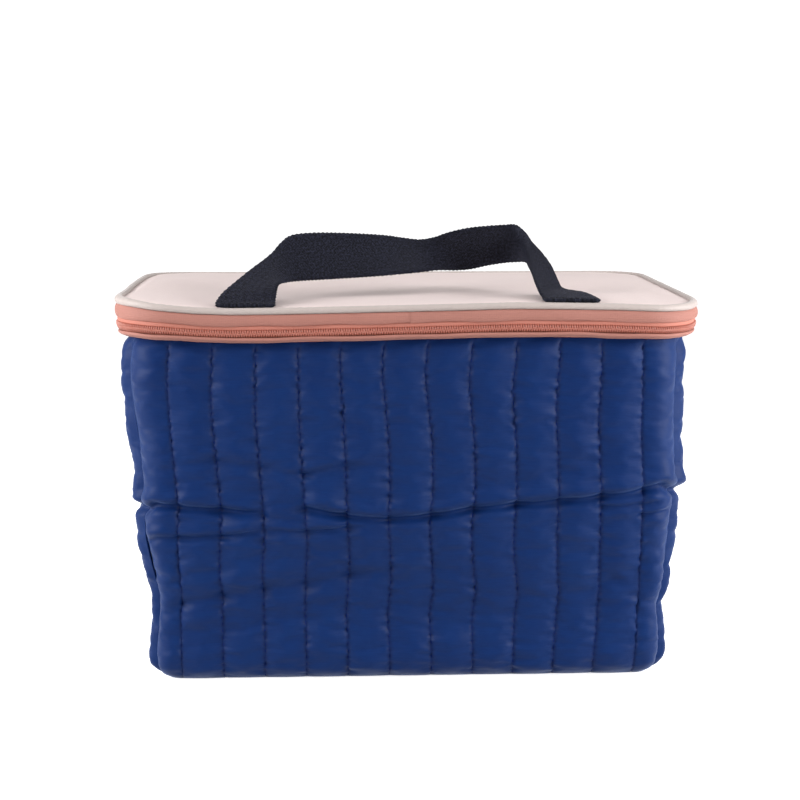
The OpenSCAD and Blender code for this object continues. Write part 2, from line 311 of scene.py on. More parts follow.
@dataclass(frozen=True)
class WovenCloth:
    """Plain-woven cloth: warp and weft, slubs, slow changes of colour and a soft sheen."""

    name: str
    colour: Colour
    thread: float = 0.42
    weave: float = 0.5
    roughness: float = 0.75
    mottle: float = 0.12
    sheen: float = 0.15
    sheen_tint: Colour = (1.0, 1.0, 1.0)
    on_uv: bool = True

    def build(self) -> bpy.types.Material:
        """Makes the material of the cloth."""
        make = NodeMaker.material(self.name)
        place = make.coordinates(self.on_uv)
        x, y, _ = make.split(place)
        turn = math.pi / self.thread
        warp = abs((x * turn).sine())
        weft = abs((y * turn).sine())
        over = ((x / self.thread).floor() + (y / self.thread).floor()) * 0.5
        swap = over.fraction() * 2.0
        height = warp * swap + weft * (1.0 - swap)
        slub = make.noise(make.stretch(place, (0.15, 2.2, 1.0)), 1.0, 2.0)
        slow = make.noise(place, 0.035, 3.0)
        fine = make.noise(place, 1.6, 2.0)
        tone = (slow - 0.5) * (2.0 * self.mottle) + (slub - 0.5) * 0.10 + (fine - 0.5) * 0.08
        tone = tone + (height - 0.6) * (0.2 * self.weave) + 0.5
        colour = make.mix(tone, shade(self.colour, 0.72), shade(self.colour, 1.28))
        rough = self.roughness + (fine - 0.5) * 0.14 - (height - 0.5) * 0.06
        relief = height * (0.06 * self.weave) + slub * (0.05 * self.weave) + fine * 0.02
        return make.surface(
            Base_Color=colour,
            Roughness=rough,
            Normal=make.bump(relief, 0.8, 1.0),
            Sheen_Weight=self.sheen,
            Sheen_Roughness=0.4,
            Sheen_Tint=opaque(self.sheen_tint),
        )


@dataclass(frozen=True)
class SatinQuilt:
    """Navy satin-faced nylon: a fine ribbed weave, a silky lift, gathers beside its stitching and painted
    shade along its rows of stitching.
    """

    ROWS = "rows"
    name: str = "quilted_nylon"
    dark: Colour = srgb(2, 26, 74)
    light: Colour = srgb(11, 46, 100)
    # Painted shade: the colour that the cloth is darkened towards in the grooves of the stitching.
    stitch_groove_shade: Colour = srgb(3, 24, 72)
    rib: float = 0.36
    warp: float = 0.24

    def build(self) -> bpy.types.Material:
        """Makes the material of the quilt's face cloth."""
        make = NodeMaker.material(self.name)
        place = make.coordinates(True)
        x, y, _ = make.split(place)
        rib = abs((y * (math.pi / self.rib)).sine())
        warp = abs((x * (math.pi / self.warp)).sine())
        slub = make.noise(make.stretch(place, (0.12, 1.7, 1.0)), 1.0, 2.0)
        slow = make.noise(place, 0.028, 3.0)
        patch = make.noise(make.stretch(place, (1.0, 0.6, 1.0)), 0.11, 3.0)
        fine = make.noise(place, 2.4, 2.0)
        tone = 0.5 + (slow - 0.5) * 0.36 + (patch - 0.5) * 0.34 + (slub - 0.5) * 0.42 + (fine - 0.5) * 0.2
        colour = make.mix(tone, self.dark, self.light)
        rows = make.node("ShaderNodeUVMap", {"uv_map": self.ROWS})
        away, step, _ = make.split(rows.outputs[0])
        pulled = ((step - 0.6) * (2 * math.pi) + math.pi / 2).sine() * 0.5 + 0.5
        strain = make.noise(place, 0.5, 2.0)
        near = (1.0 - away / (0.9 + strain * 1.6)).at_least(0.0)
        # Painted shade: the cloth is darkened along each row of stitching, most at the stitch holes, where
        # the groove's shade falls.
        colour = make.mix(near * (0.5 + pulled * 0.5), colour, self.stitch_groove_shade)
        crease = make.noise(make.stretch(place, (0.5, 1.4, 1.0)), 0.35, 4.0)
        gather = make.noise(make.stretch(place, (0.35, 1.0, 1.0)), 0.5, 2.0)
        beside = (1.0 - away / 6.0).at_least(0.0)
        relief = rib * 0.012 + warp * 0.006 + slub * 0.03 + crease * 0.3
        relief = relief + (gather - 0.5) * beside * 0.7 - near * near * (0.1 + pulled * 0.2)
        rough = 0.5 + (fine - 0.5) * 0.12 + (patch - 0.5) * 0.12
        return make.surface(
            Base_Color=colour,
            Roughness=rough,
            Normal=make.bump(relief, 0.55, 1.0),
            Specular_IOR_Level=0.12,
            Sheen_Weight=0.46,
            Sheen_Roughness=0.32,
            Sheen_Tint=opaque(srgb(150, 175, 225)),
        )


@dataclass(frozen=True)
class TwillWebbing:
    """Black webbing: slanting ribs in narrow lanes, fine cords along it and loose pale fibres."""

    name: str
    colour: Colour
    rib: float = 1.25
    width: float = 25.0

    def build(self) -> bpy.types.Material:
        """Makes the material of the webbing."""
        make = NodeMaker.material(self.name)
        place = make.coordinates(True)
        along, across, _ = make.split(place)
        lane = abs(((across / (self.width / 6)).fraction() - 0.5) * 2.0)
        slant = (along + lane * 1.6) * (2 * math.pi / self.rib)
        ridge = slant.sine() * 0.5 + 0.5
        cord = abs((across * (math.pi / 0.9)).sine())
        fuzz = make.noise(place, 0.95, 2.0)
        slow = make.noise(place, 0.06, 2.0)
        height = ridge * 0.6 + cord * 0.4
        tone = 0.18 + height * 0.3 + (fuzz - 0.5) * 2.9 + (slow - 0.5) * 0.3
        colour = make.mix(tone, shade(self.colour, 0.35), shade(self.colour, 2.4))
        relief = height * 0.3 + fuzz * 0.16
        return make.surface(
            Base_Color=colour,
            Roughness=0.9 - (height - 0.5) * 0.08,
            Normal=make.bump(relief, 0.9, 1.0),
            Specular_IOR_Level=0.12,
            Sheen_Weight=0.14,
            Sheen_Roughness=0.4,
            Sheen_Tint=opaque(srgb(150, 150, 165)),
        )


@dataclass(frozen=True)
class WovenTape:
    """Narrow zip tape or binding: a twill with fine ribs along its length."""

    name: str
    colour: Colour
    rib: float = 0.5

    def build(self) -> bpy.types.Material:
        """Makes the material of the tape."""
        make = NodeMaker.material(self.name)
        place = make.coordinates(True)
        along, across, _ = make.split(place)
        rib = abs((across * (math.pi / self.rib)).sine())
        twill = ((along + across * 1.4) * (2 * math.pi / 0.7)).sine() * 0.5 + 0.5
        slow = make.noise(place, 0.05, 3.0)
        fine = make.noise(place, 2.2, 2.0)
        tone = 0.5 + (slow - 0.5) * 0.22 + (fine - 0.5) * 0.22 + (rib - 0.6) * 0.16
        colour = make.mix(tone, shade(self.colour, 0.70), shade(self.colour, 1.30))
        relief = rib * 0.05 + twill * 0.04 + fine * 0.02
        return make.surface(
            Base_Color=colour,
            Roughness=0.72 + (fine - 0.5) * 0.12,
            Normal=make.bump(relief, 0.8, 1.0),
            Sheen_Weight=0.2,
            Sheen_Roughness=0.4,
            Sheen_Tint=opaque(shade(self.colour, 1.6)),
        )


@dataclass(frozen=True)
class SmoothPlastic:
    """Nylon coil, thread or moulded plastic with a faint grain."""

    name: str
    colour: Colour
    roughness: float = 0.4
    grain: float = 0.9
    metallic: float = 0.0
    specular: float = 0.5

    def build(self) -> bpy.types.Material:
        """Makes the material of the plastic."""
        make = NodeMaker.material(self.name)
        place = make.coordinates(False)
        slow = make.noise(place, 0.08, 2.0)
        fine = make.noise(place, self.grain, 3.0)
        tone = 0.5 + (slow - 0.5) * 0.3 + (fine - 0.5) * 0.25
        colour = make.mix(tone, shade(self.colour, 0.78), shade(self.colour, 1.22))
        return make.surface(
            Base_Color=colour,
            Roughness=self.roughness + (fine - 0.5) * 0.14,
            Metallic=self.metallic,
            Normal=make.bump(fine, 0.25, 0.05),
            Specular_IOR_Level=self.specular,
        )


@dataclass(frozen=True)
class FoilLining:
    """Wipe-clean silver-grey film over foam, with an embossed grain and soft crinkles."""

    name: str = "lining_film"
    colour: Colour = srgb(196, 198, 202)

    def build(self) -> bpy.types.Material:
        """Makes the material of the lining."""
        make = NodeMaker.material(self.name)
        place = make.coordinates(False)
        crinkle = make.noise(place, 0.09, 4.0)
        cell = make.cells(place, 0.9)
        slow = make.noise(place, 0.02, 2.0)
        tone = 0.5 + (slow - 0.5) * 0.3 + (crinkle - 0.5) * 0.25
        colour = make.mix(tone, shade(self.colour, 0.82), shade(self.colour, 1.12))
        relief = crinkle * 0.9 + cell * 0.08
        return make.surface(
            Base_Color=colour,
            Roughness=0.36 + (crinkle - 0.5) * 0.2,
            Normal=make.bump(relief, 0.5, 1.0),
            Coat_Weight=0.2,
        )


@dataclass(frozen=True)
class CellFoam:
    """Closed-cell insulating foam."""

    name: str = "insulating_foam"
    colour: Colour = srgb(232, 232, 226)

    def build(self) -> bpy.types.Material:
        """Makes the material of the foam."""
        make = NodeMaker.material(self.name)
        place = make.coordinates(False)
        cell = make.cells(place, 1.3)
        slow = make.noise(place, 0.05, 2.0)
        colour = make.mix(cell * 0.7 + slow * 0.3, shade(self.colour, 0.86), shade(self.colour, 1.05))
        return make.surface(
            Base_Color=colour, Roughness=0.86 + (cell - 0.5) * 0.1, Normal=make.bump(cell * 0.3, 0.6, 1.0)
        )


class Wardrobe:
    """Every finish of the bag, made once."""

    def __init__(self) -> None:
        """Builds the materials."""
        coral = srgb(163, 108, 96)
        self.quilt = SatinQuilt().build()
        self.quilt_thread = SmoothPlastic("navy_thread", srgb(10, 32, 92), 0.8, 2.0, specular=0.04).build()
        self.base_cloth = WovenCloth(
            "navy_base_cloth", srgb(22, 40, 92), thread=0.5, weave=0.8, roughness=0.7, on_uv=False
        ).build()
        self.blush = WovenCloth(
            "blush_canvas", srgb(229, 211, 208), thread=0.34, weave=0.45, roughness=0.78, mottle=0.04,
            sheen=0.1, on_uv=False,
        ).build()
        self.coral = WovenCloth(
            "coral_cotton", coral, thread=0.8, weave=1.4, roughness=0.7, mottle=0.14, sheen=0.3,
            sheen_tint=srgb(255, 215, 205),
        ).build()
        self.welt = WovenCloth(
            "coral_welt", coral, thread=0.4, weave=0.6, roughness=0.7, mottle=0.1, sheen=0.2,
            sheen_tint=srgb(255, 215, 200),
        ).build()
        self.tape = WovenTape("coral_tape", srgb(188, 118, 102)).build()
        self.coil = SmoothPlastic("coral_coil", srgb(163, 91, 74), 0.38, 1.5).build()
        self.piping = WovenCloth(
            "piping_satin", srgb(178, 166, 161), thread=0.3, weave=0.35, roughness=0.55, mottle=0.06,
            sheen=0.3,
        ).build()
        self.webbing = TwillWebbing("black_webbing", srgb(24, 25, 35)).build()
        self.black_thread = SmoothPlastic("black_thread", srgb(30, 30, 38), 0.7, 2.0, specular=0.15).build()
        self.coral_thread = SmoothPlastic("coral_thread", srgb(184, 112, 96), 0.6, 2.0).build()
        self.binding = WovenTape("dark_binding", srgb(66, 66, 74), 0.6).build()
        self.lining = FoilLining().build()
        self.foam = CellFoam().build()
        self.enamel = SmoothPlastic("slider_enamel", srgb(190, 112, 94), 0.3, 0.6, 0.25).build()


# ---------------------------------------------------------------- the bag's form


def ramp(rise: Array, length: Array | float = 1.0) -> Array:
    """Nothing below zero, one beyond a length, and evenly between."""
    return np.clip(rise / length, 0, 1)


def eased(share: Array) -> Array:
    """A share from nothing to one with both its ends softened."""
    return share * share * (3 - 2 * share)


def bell(away: Array, width: float) -> Array:
    """One at nothing, fading smoothly over a width on either side."""
    return np.exp(-((away / width) ** 2))


@dataclass(frozen=True)
class Ripples:
    """Smooth seeded relief: a sum of waves between two wavelengths in each direction."""

    seed: int
    across: tuple[float, float]
    up: tuple[float, float]
    waves: int = 14

    def at(self, s: Array, z: Array) -> Array:
        """Height of the relief.

        Args:
            s: Place along the outline, in millimetres.
            z: Height above the floor, in millimetres.

        Returns:
            Heights of about one either way.
        """
        rng = np.random.default_rng(self.seed)
        total = np.zeros_like(s, dtype=float)
        for _ in range(self.waves):
            kx = 2 * np.pi / rng.uniform(*self.across) * rng.choice((-1, 1))
            ky = 2 * np.pi / rng.uniform(*self.up)
            total += np.sin(kx * s + ky * z + rng.uniform(0, 2 * np.pi))
        return total / math.sqrt(self.waves / 2)


@dataclass(frozen=True)
class Fold:
    """A crease pressed into the cloth along a line, with a roll of cloth above and below it."""

    line: tuple[tuple[float, float], ...]
    depth: float
    width: float
    roll_above: float = 0.0
    roll_below: float = 0.0

    def at(self, s: Array, z: Array) -> Array:
        """How far the fold draws the cloth in.

        Args:
            s: Place along the outline, in millimetres.
            z: Height above the floor, in millimetres.

        Returns:
            The inward move at each place, in millimetres.
        """
        line = np.array(self.line, float)
        reach = 6 * self.width
        out = np.zeros_like(s, dtype=float)
        low, high = line.min(0) - reach, line.max(0) + reach
        near = (s > low[0]) & (s < high[0]) & (z > low[1]) & (z < high[1])
        if not near.any():
            return out
        ps, pz = s[near], z[near]
        best = np.full(ps.shape, 1e9)
        signed = np.zeros_like(best)
        share = np.zeros_like(best)
        run = np.concatenate([[0], np.cumsum(np.hypot(*np.diff(line, axis=0).T))])
        for i in range(len(line) - 1):
            a, b = line[i], line[i + 1]
            d = b - a
            t = np.clip(((ps - a[0]) * d[0] + (pz - a[1]) * d[1]) / (d @ d), 0, 1)
            gap_s, gap_z = ps - a[0] - t * d[0], pz - a[1] - t * d[1]
            gap = np.hypot(gap_s, gap_z)
            closer = gap < best
            best = np.where(closer, gap, best)
            signed = np.where(closer, np.where(gap_z >= 0, gap, -gap), signed)
            share = np.where(closer, (run[i] + t * (run[i + 1] - run[i])) / run[-1], share)
        fade = 0.25 + 0.75 * eased(ramp(np.minimum(share, 1 - share) * run[-1], 4 * self.width))
        valley = self.depth * bell(best, self.width)
        above = self.roll_above * bell(signed - 2.2 * self.width, 1.8 * self.width)
        below = self.roll_below * bell(signed + 2.2 * self.width, 1.8 * self.width)
        out[near] = fade * (valley - above - below)
        return out


@dataclass(frozen=True)
class Outline:
    """The bag's rounded outline in plan, in millimetres, run anticlockwise from the middle of the front."""

    width: float = 270.0
    depth: float = 168.0
    corner: float = 28.0

    @property
    def half_front(self) -> float:
        """Half the straight stretch of the front."""
        return self.width / 2 - self.corner

    @property
    def half_side(self) -> float:
        """Half the straight stretch of a side."""
        return self.depth / 2 - self.corner

    @property
    def arc(self) -> float:
        """Length of one corner."""
        return self.corner * math.pi / 2

    @property
    def quarter(self) -> float:
        """From the middle of the front to the middle of the right side."""
        return self.half_front + self.arc + self.half_side

    @property
    def around(self) -> float:
        """The whole way round."""
        return 4 * self.quarter

    def place(self, s: Array, inset: Array) -> tuple[Array, Array, Array]:
        """Points at a distance along the outline and inside it.

        Args:
            s: Distance along the outline.
            inset: Distance in from it.

        Returns:
            Their x, their y and the direction out of the bag, in radians.
        """
        hf, hs, arc = self.half_front, self.half_side, self.arc
        lengths = np.array([hf, arc, 2 * hs, arc, 2 * hf, arc, 2 * hs, arc, hf])
        starts = np.concatenate([[0], np.cumsum(lengths)])
        cores = np.array(
            [(0, -hs), (hf, -hs), (hf, -hs), (hf, hs), (hf, hs), (-hf, hs), (-hf, hs), (-hf, -hs), (-hf, -hs)]
        )
        heads = np.array([(1, 0), (0, 0), (0, 1), (0, 0), (-1, 0), (0, 0), (0, -1), (0, 0), (1, 0)])
        angles = np.radians([-90, -90, 0, 0, 90, 90, 180, 180, 270])
        t = np.mod(s, starts[-1])
        k = np.clip(np.searchsorted(starts, t, side="right") - 1, 0, 8)
        local = t - starts[k]
        angle = angles[k] + np.where(k % 2 == 1, local / arc * (math.pi / 2), 0)
        core = cores[k] + heads[k] * local[:, None]
        reach = self.corner - inset
        return core[:, 0] + reach * np.cos(angle), core[:, 1] + reach * np.sin(angle), angle


@dataclass(frozen=True)
class Heights:
    """Heights and insets that the layers share, in millimetres."""

    lid_top: float = 180.0
    chain: float = 168.5
    wall_top: float = 164.1
    wall_setback: float = 3.0
    panel: float = 4.0
    foam: float = 3.5
    lining: float = 0.8
    cloth: float = 1.2
    gap: float = 0.1


class BagForm:
    """The soft shape that every layer of the bag is laid on."""

    PITCH = 19.6
    FRONT_LINES = 12
    SIDE_CHANNELS = 8
    SEAM = 134.5
    CROWN = 2.2
    STRAY = 0.42
    SLUMP = 0.55
    TUCK = 0.42
    DENT = 0.27
    ROW_GROOVE = 0.55
    SEAM_GROOVE = 0.95
    SEAM_HOLLOW = 0.5
    UNDER_WELT = 2.9
    SOFT_LIMIT = 3.4
    DEEPEST = 3.7
    BAND_Z = 174.5
    ROLL_BELOW = 2.9
    ROLL_ABOVE = 0.9
    SIDE_LIFT = 3.0
    CORNER_LIFT = 1.9
    PROFILE = (
        (0.0, 14.0), (0.015, 10.2), (0.04, 7.6), (0.085, 6.6), (0.14, 7.8), (0.2, 9.2), (0.42, 4.0),
        (0.66, 1.4), (1.0, 0.0),
    )
    LEAN = (
        (0, 0.4), (22, 0.5), (33, 0.5), (43, 1.4), (54, 1.1), (65, 0.8), (76, 0.5), (92, 0.7), (113, -0.2),
        (129, -1.2), (145, -1.8), (161, -1.2), (164, 0),
    )
    FRONT_WAVE = (
        (-135, 0.2), (-122, 0.6), (-110, 0.5), (-95, -0.7), (-80, -1.2), (-55, -1.0), (-27, -0.5), (0, 0.0),
        (25, 0.5), (48, 1.0), (70, 0.7), (93, 0.3), (115, -0.6), (128, -0.7), (135, -0.5),
    )
    MAIN_LEFT = (
        (-208, 80), (-160, 84), (-128, 84), (-121, 87.3), (-106.6, 86.2), (-86.1, 84.5), (-67.8, 82.4),
    )
    MAIN_RIGHT = (
        (-52, 85), (-40, 83.5), (-28.8, 81.1), (-10.4, 79.5), (9.4, 81.2), (27.9, 83.9), (46.4, 85.7),
        (64.9, 86.9), (84.3, 89.2), (101.9, 91.4), (118.9, 95.1), (129, 91), (165, 88), (205, 86),
    )
    LOWER_LEFT = ((-117.8, 36.2), (-87.4, 42.5), (-67.3, 45.3), (-48.6, 47.1), (-27.6, 51.9), (-9.9, 53.7))
    UPPER_LEFT = (
        (-108.1, 106.2), (-88.6, 107.9), (-67.4, 104.4), (-51.5, 100.9), (-29.6, 104.6), (-11.3, 105.8),
    )
    FOLDS = (
        Fold(MAIN_LEFT, 3.4, 2.1, 2.1, 0.5),
        Fold(MAIN_RIGHT, 3.4, 2.1, 2.2, 0.5),
        Fold(((-131, 68), (-123.1, 70.9), (-119.4, 71.4), (-86.4, 71.5), (-68.9, 74.7)), 2.0, 1.6, 1.3, 0.4),
        Fold(((-68.0, 74.7), (-48.2, 73.5), (-28.9, 75.8), (-17.3, 76.6)), 1.9, 1.7, 1.2, 0.4),
        Fold(((-67, 82), (-58, 79), (-50.4, 80.8)), 1.0, 2.2, 0.4, 0.3),
        Fold(((84.4, 84.8), (103.1, 85.1), (120.7, 86.9)), 1.9, 1.5, 0.9, 0.5),
        Fold(((103.3, 80.3), (118.6, 81.6), (126, 82.5)), 1.8, 1.5, 0.9, 0.6),
        Fold(LOWER_LEFT, 2.0, 3.4, 1.0, 0.9),
        Fold(((65.4, 101.3), (75.9, 104.1), (86.0, 108.3), (92.8, 111.6)), 0.9, 4.0, 0.5, 0.3),
        Fold(((65.4, 66.9), (74.7, 67.8), (82.9, 63.7)), 0.8, 2.6, 0.6, 0.2),
        Fold(((66.7, 28.1), (73.8, 24.7), (81.0, 21.3), (85.7, 19.4)), 1.0, 2.6, 0.6, 0.4),
        Fold(((86.1, 44.9), (94.4, 48.9), (103.3, 42.6)), 0.9, 2.8, 0.5, 0.4),
        Fold(UPPER_LEFT, 1.5, 2.4, 0.9, 0.3),
        Fold(((150, 52), (190, 46), (240, 50)), 1.4, 4.5, 0.7, 0.7),
        Fold(((-250, 44), (-205, 50), (-165, 45)), 1.4, 4.5, 0.7, 0.7),
        Fold(((300, 86), (345, 82), (400, 85), (455, 81), (500, 87), (535, 90)), 2.2, 1.9, 1.4, 0.5),
        Fold(((320, 48), (365, 52), (410, 47)), 1.4, 4.6, 0.6, 0.8),
        Fold(((430, 112), (470, 108), (505, 113)), 1.0, 4.0, 0.5, 0.4),
    )

    def __init__(self) -> None:
        """Smooths the wall's profile and prepares the relief."""
        self.outline = Outline()
        self.heights = Heights()
        profile = np.array(self.PROFILE)
        self._z = np.linspace(0, self.heights.wall_top, 330)
        raw = np.interp(self._z / self.heights.wall_top, profile[:, 0], profile[:, 1])
        taps = np.exp(-0.5 * (np.arange(-12, 13) / 4.0) ** 2)
        padded = np.concatenate([2 * raw[0] - raw[12:0:-1], raw, np.full(12, raw[-1])])
        smooth = np.convolve(padded, taps / taps.sum(), mode="valid")
        blend = ramp(self._z, 10)
        self._inset = raw * (1 - blend) + smooth * blend
        far = 2 * self.outline.quarter
        middle = self.PITCH * (np.arange(self.FRONT_LINES) - (self.FRONT_LINES - 1) / 2)
        side = np.linspace(self.SEAM, far - self.SEAM, self.SIDE_CHANNELS + 1)
        half = np.concatenate([middle, side])
        self.seams = np.array([-self.SEAM, self.SEAM, far - self.SEAM, far + self.SEAM, 2 * far - self.SEAM])
        self.lines = np.concatenate([[-self.SEAM], half, far + half])
        self.pucker = Ripples(11, (26, 70), (3.6, 8.5), 16)
        self.dents = Ripples(23, (45, 120), (13, 34), 14)
        self.drift = Ripples(29, (120, 320), (38, 120), 8)
        self.broad = Ripples(37, (70, 210), (60, 150), 10)
        self.wadding: QuiltSwatch | None = None

    def wall_inset(self, z: Array | float) -> Array | float:
        """How far the crest of the wall stands inside the lid's outline at a height."""
        return self.heights.wall_setback + np.interp(z, self._z, self._inset)

    def wander(self, s: Array, z: Array) -> Array:
        """How far a row of stitching strays sideways; none at the upright seams."""
        from_seam = np.mod(s + self.SEAM, self.outline.around)
        away = np.abs(from_seam[:, None] - (self.seams + self.SEAM)[None, :]).min(1)
        return self.STRAY * self.drift.at(s, z) * ramp(away, 18)

    def channel(self, s: Array, z: Array) -> tuple[Array, Array, Array, Array]:
        """Where a place lies in the quilting.

        Args:
            s: Distance along the outline.
            z: Height above the floor.

        Returns:
            The channel's number, the share of its width, the distance to its nearer line of
            stitching, and the distance to the nearest upright seam.
        """
        start = self.lines[0]
        t = start + np.mod(s - start, self.outline.around)
        seam = np.abs(t[:, None] - self.seams[None, :]).min(1)
        t = np.clip(t + self.wander(s, z), start, self.lines[-1] - 1e-6)
        number = np.clip(np.searchsorted(self.lines, t, side="right") - 1, 0, len(self.lines) - 2)
        low, high = self.lines[number], self.lines[number + 1]
        share = (t - low) / (high - low)
        return number, share, np.minimum(t - low, high - t), seam

    def folds(self, s: Array, z: Array) -> Array:
        """The inward move of all the folds together."""
        around = self.outline.around
        t = np.mod(s + around / 2, around) - around / 2
        wrapped = np.where(t < -around / 4 - 75, t + around, t)
        total = np.zeros_like(t)
        for fold in self.FOLDS:
            line = np.array(fold.line)
            total += fold.at(wrapped if line[:, 0].max() > 290 else t, z)
        return total

    def slump(self, s: Array, z: Array) -> Array:
        """Slow hollows and swells of the whole wall."""
        ends = ramp(np.minimum(z / 26, (self.heights.wall_top - z) / 30))
        return self.SLUMP * ends * self.broad.at(s, z)

    def quilting(self, s: Array, z: Array) -> Array:
        """The inward move of the wadding between its rows of stitching."""
        number, share, line, seam = self.channel(s, z)
        middle = np.abs(2 * share - 1)
        ends = eased(ramp(np.minimum((z + 1) / 7, (self.heights.wall_top - z) / 6)))
        inner = ramp(seam, 5)
        wobble = self.pucker.at(s + 137.0 * number, z)
        tuck = self.TUCK * np.exp(-line / 3.6) * np.abs(wobble) ** 1.3 * np.sign(wobble)
        dent = self.DENT * (1 - middle**4) * self.dents.at(s + 311.0 * number, z)
        if self.wadding is None:
            relief = self.CROWN * middle**2.6
        else:
            relief = self.CROWN - self.wadding.height(number, share, z) * (0.25 + 0.75 * inner)
        groove = relief + inner * (tuck + dent) + self.ROW_GROOVE * bell(line, 1.1)
        groove += self.SEAM_GROOVE * bell(seam, 1.6) + self.SEAM_HOLLOW * bell(seam, 5.0)
        under = ramp(z - self.heights.wall_top + 12.0, 12.0)
        total = (groove + 0.15) * (0.3 + 0.7 * ends) + 0.9 * (1 - ends)
        total = np.where(total > 0, self.SOFT_LIMIT * np.tanh(total / self.SOFT_LIMIT), total)
        return np.minimum(total + self.UNDER_WELT * under * under, self.DEEPEST)

    def settle(self, points: Array) -> Array:
        """Moves points as the soft bag has settled: it leans a little and its front edge waves."""
        x, y, z = points[:, 0].copy(), points[:, 1], points[:, 2].copy()
        lean = np.array(self.LEAN, float)
        wave = np.array(self.FRONT_WAVE, float)
        aside = ramp(x - 118, 14)
        front = eased(ramp(-20 - 31 * aside - y, 50 - 19 * aside))
        z += np.interp(x, wave[:, 0], wave[:, 1]) * front * eased(ramp(z - 105, 55))
        side = eased(ramp(-70 - x, 55) * bell(y - 6, 60))
        corner = eased(ramp(-106 - x, 26) * ramp(-25 - y, 40))
        z += ramp(points[:, 2] - 166, 12) * (self.SIDE_LIFT * side + self.CORNER_LIFT * corner)
        x += np.interp(points[:, 2], lean[:, 0], lean[:, 1])
        return np.column_stack([x, y, z])

    def barrel(self, s: Array, z: Array) -> Array:
        """How far the zip and the lid's edge roll in above and below the band, most at the sides."""
        _, _, angle = self.outline.place(s, np.zeros_like(s))
        side = 0.55 + 0.45 * np.abs(np.cos(angle)) ** 2
        below = ramp(self.BAND_Z - z, 10) ** 3 * self.ROLL_BELOW
        above = ramp(z - self.BAND_Z, 5.5) ** 2 * self.ROLL_ABOVE
        return side * (below + above)

    def on_lid(self, s: Array, inset: Array, z: Array) -> Array:
        """Points set against the lid's outline."""
        x, y, _ = self.outline.place(s, inset + self.barrel(s, z))
        return self.settle(np.column_stack([x, y, z]))

    def on_wall(self, s: Array, depth: Array, z: Array, quilted: Array | float = 0.0) -> Array:
        """Points set against the wall.

        Args:
            s: Distance along the outline.
            depth: Distance in from the crest of the wall.
            z: Height above the floor.
            quilted: How much of the quilting's relief they take.

        Returns:
            The points, in millimetres.
        """
        inset = self.wall_inset(z) + depth + self.folds(s, z) + self.slump(s, z)
        if np.any(quilted):
            inset = inset + quilted * self.quilting(s, z)
        x, y, _ = self.outline.place(s, inset)
        return self.settle(np.column_stack([x, y, z]))


# ---------------------------------------------------------------- mesh tools


def finished(name: str, mesh: bpy.types.Mesh, material: bpy.types.Material) -> bpy.types.Object:
    """Turns a finished mesh into a smooth-shaded object of the scene.

    Args:
        name: The piece's name.
        mesh: Its mesh, in place.
        material: Its finish.

    Returns:
        The object, at the origin.
    """
    mesh.materials.clear()
    mesh.materials.append(material)
    mesh.polygons.foreach_set("use_smooth", [True] * len(mesh.polygons))
    piece = bpy.data.objects.new(name, mesh)
    bpy.context.scene.collection.objects.link(piece)
    return piece


def points_of(mesh: bpy.types.Mesh) -> Array:
    """The places of a mesh's vertices."""
    co = np.empty(len(mesh.vertices) * 3, np.float32)
    mesh.vertices.foreach_get("co", co)
    return co.reshape(-1, 3).astype(float)


def move_points(mesh: bpy.types.Mesh, points: Array) -> None:
    """Puts a mesh's vertices at new places."""
    mesh.vertices.foreach_set("co", points.astype(np.float32).ravel())
    mesh.update()


def map_cloth(mesh: bpy.types.Mesh, flat: Array, name: str = "cloth") -> None:
    """Gives a mesh a UV map in millimetres of cloth.

    Args:
        mesh: The mesh.
        flat: One place on the flat cloth for each vertex.
        name: The map's name.
    """
    layer = mesh.uv_layers.new(name=name)
    corners = np.empty(len(mesh.loops), np.int32)
    mesh.loops.foreach_get("vertex_index", corners)
    layer.data.foreach_set("uv", flat[corners].astype(np.float32).ravel())


def sew_up(mesh: bpy.types.Mesh, reach: float = 0.0, fill_ends: bool = False) -> None:
    """Joins the touching edges of a mesh and turns its faces outwards.

    Args:
        mesh: The mesh.
        reach: How near two vertices are to be one, in the mesh's own unit; nothing joins none.
        fill_ends: Whether open ends are closed with a face.
    """
    bm = bmesh.new()
    bm.from_mesh(mesh)
    if reach:
        bmesh.ops.remove_doubles(bm, verts=bm.verts[:], dist=reach)
        bmesh.ops.dissolve_degenerate(bm, edges=bm.edges[:], dist=reach * 0.1)
    if fill_ends:
        bmesh.ops.holes_fill(bm, edges=[e for e in bm.edges if e.is_boundary], sides=0)
    bmesh.ops.recalc_face_normals(bm, faces=bm.faces[:])
    bm.to_mesh(mesh)
    bm.free()


def as_mesh(bm: bmesh.types.BMesh, name: str) -> bpy.types.Mesh:
    """Makes a new mesh of a working one, which it frees."""
    mesh = bpy.data.meshes.new(name)
    bm.to_mesh(mesh)
    bm.free()
    return mesh


def sheet_mesh(
    name: str, columns: int, rows: int, padded: bool = False
) -> tuple[bpy.types.Mesh, Array, Array, Array]:
    """Makes a flat sheet, or a padded one with a back face, ready to be laid on a form.

    Args:
        name: The mesh's name.
        columns: Faces along it.
        rows: Faces up it.
        padded: Whether it gets a back and edges.

    Returns:
        The mesh, and each vertex's share along, share up and share of the thickness.
    """
    bm = bmesh.new()
    bmesh.ops.create_grid(bm, x_segments=columns, y_segments=rows, size=1.0)
    if padded:
        bmesh.ops.solidify(bm, geom=bm.faces[:], thickness=0.5)
    mesh = as_mesh(bm, name)
    co = points_of(mesh)
    spread = np.ptp(co, axis=0)
    low = co.min(0)
    deep = (co[:, 2].max() - co[:, 2]) / max(spread[2], 1e-9) if padded else np.zeros(len(co))
    return mesh, (co[:, 0] - low[0]) / spread[0], (co[:, 1] - low[1]) / spread[1], np.round(deep)


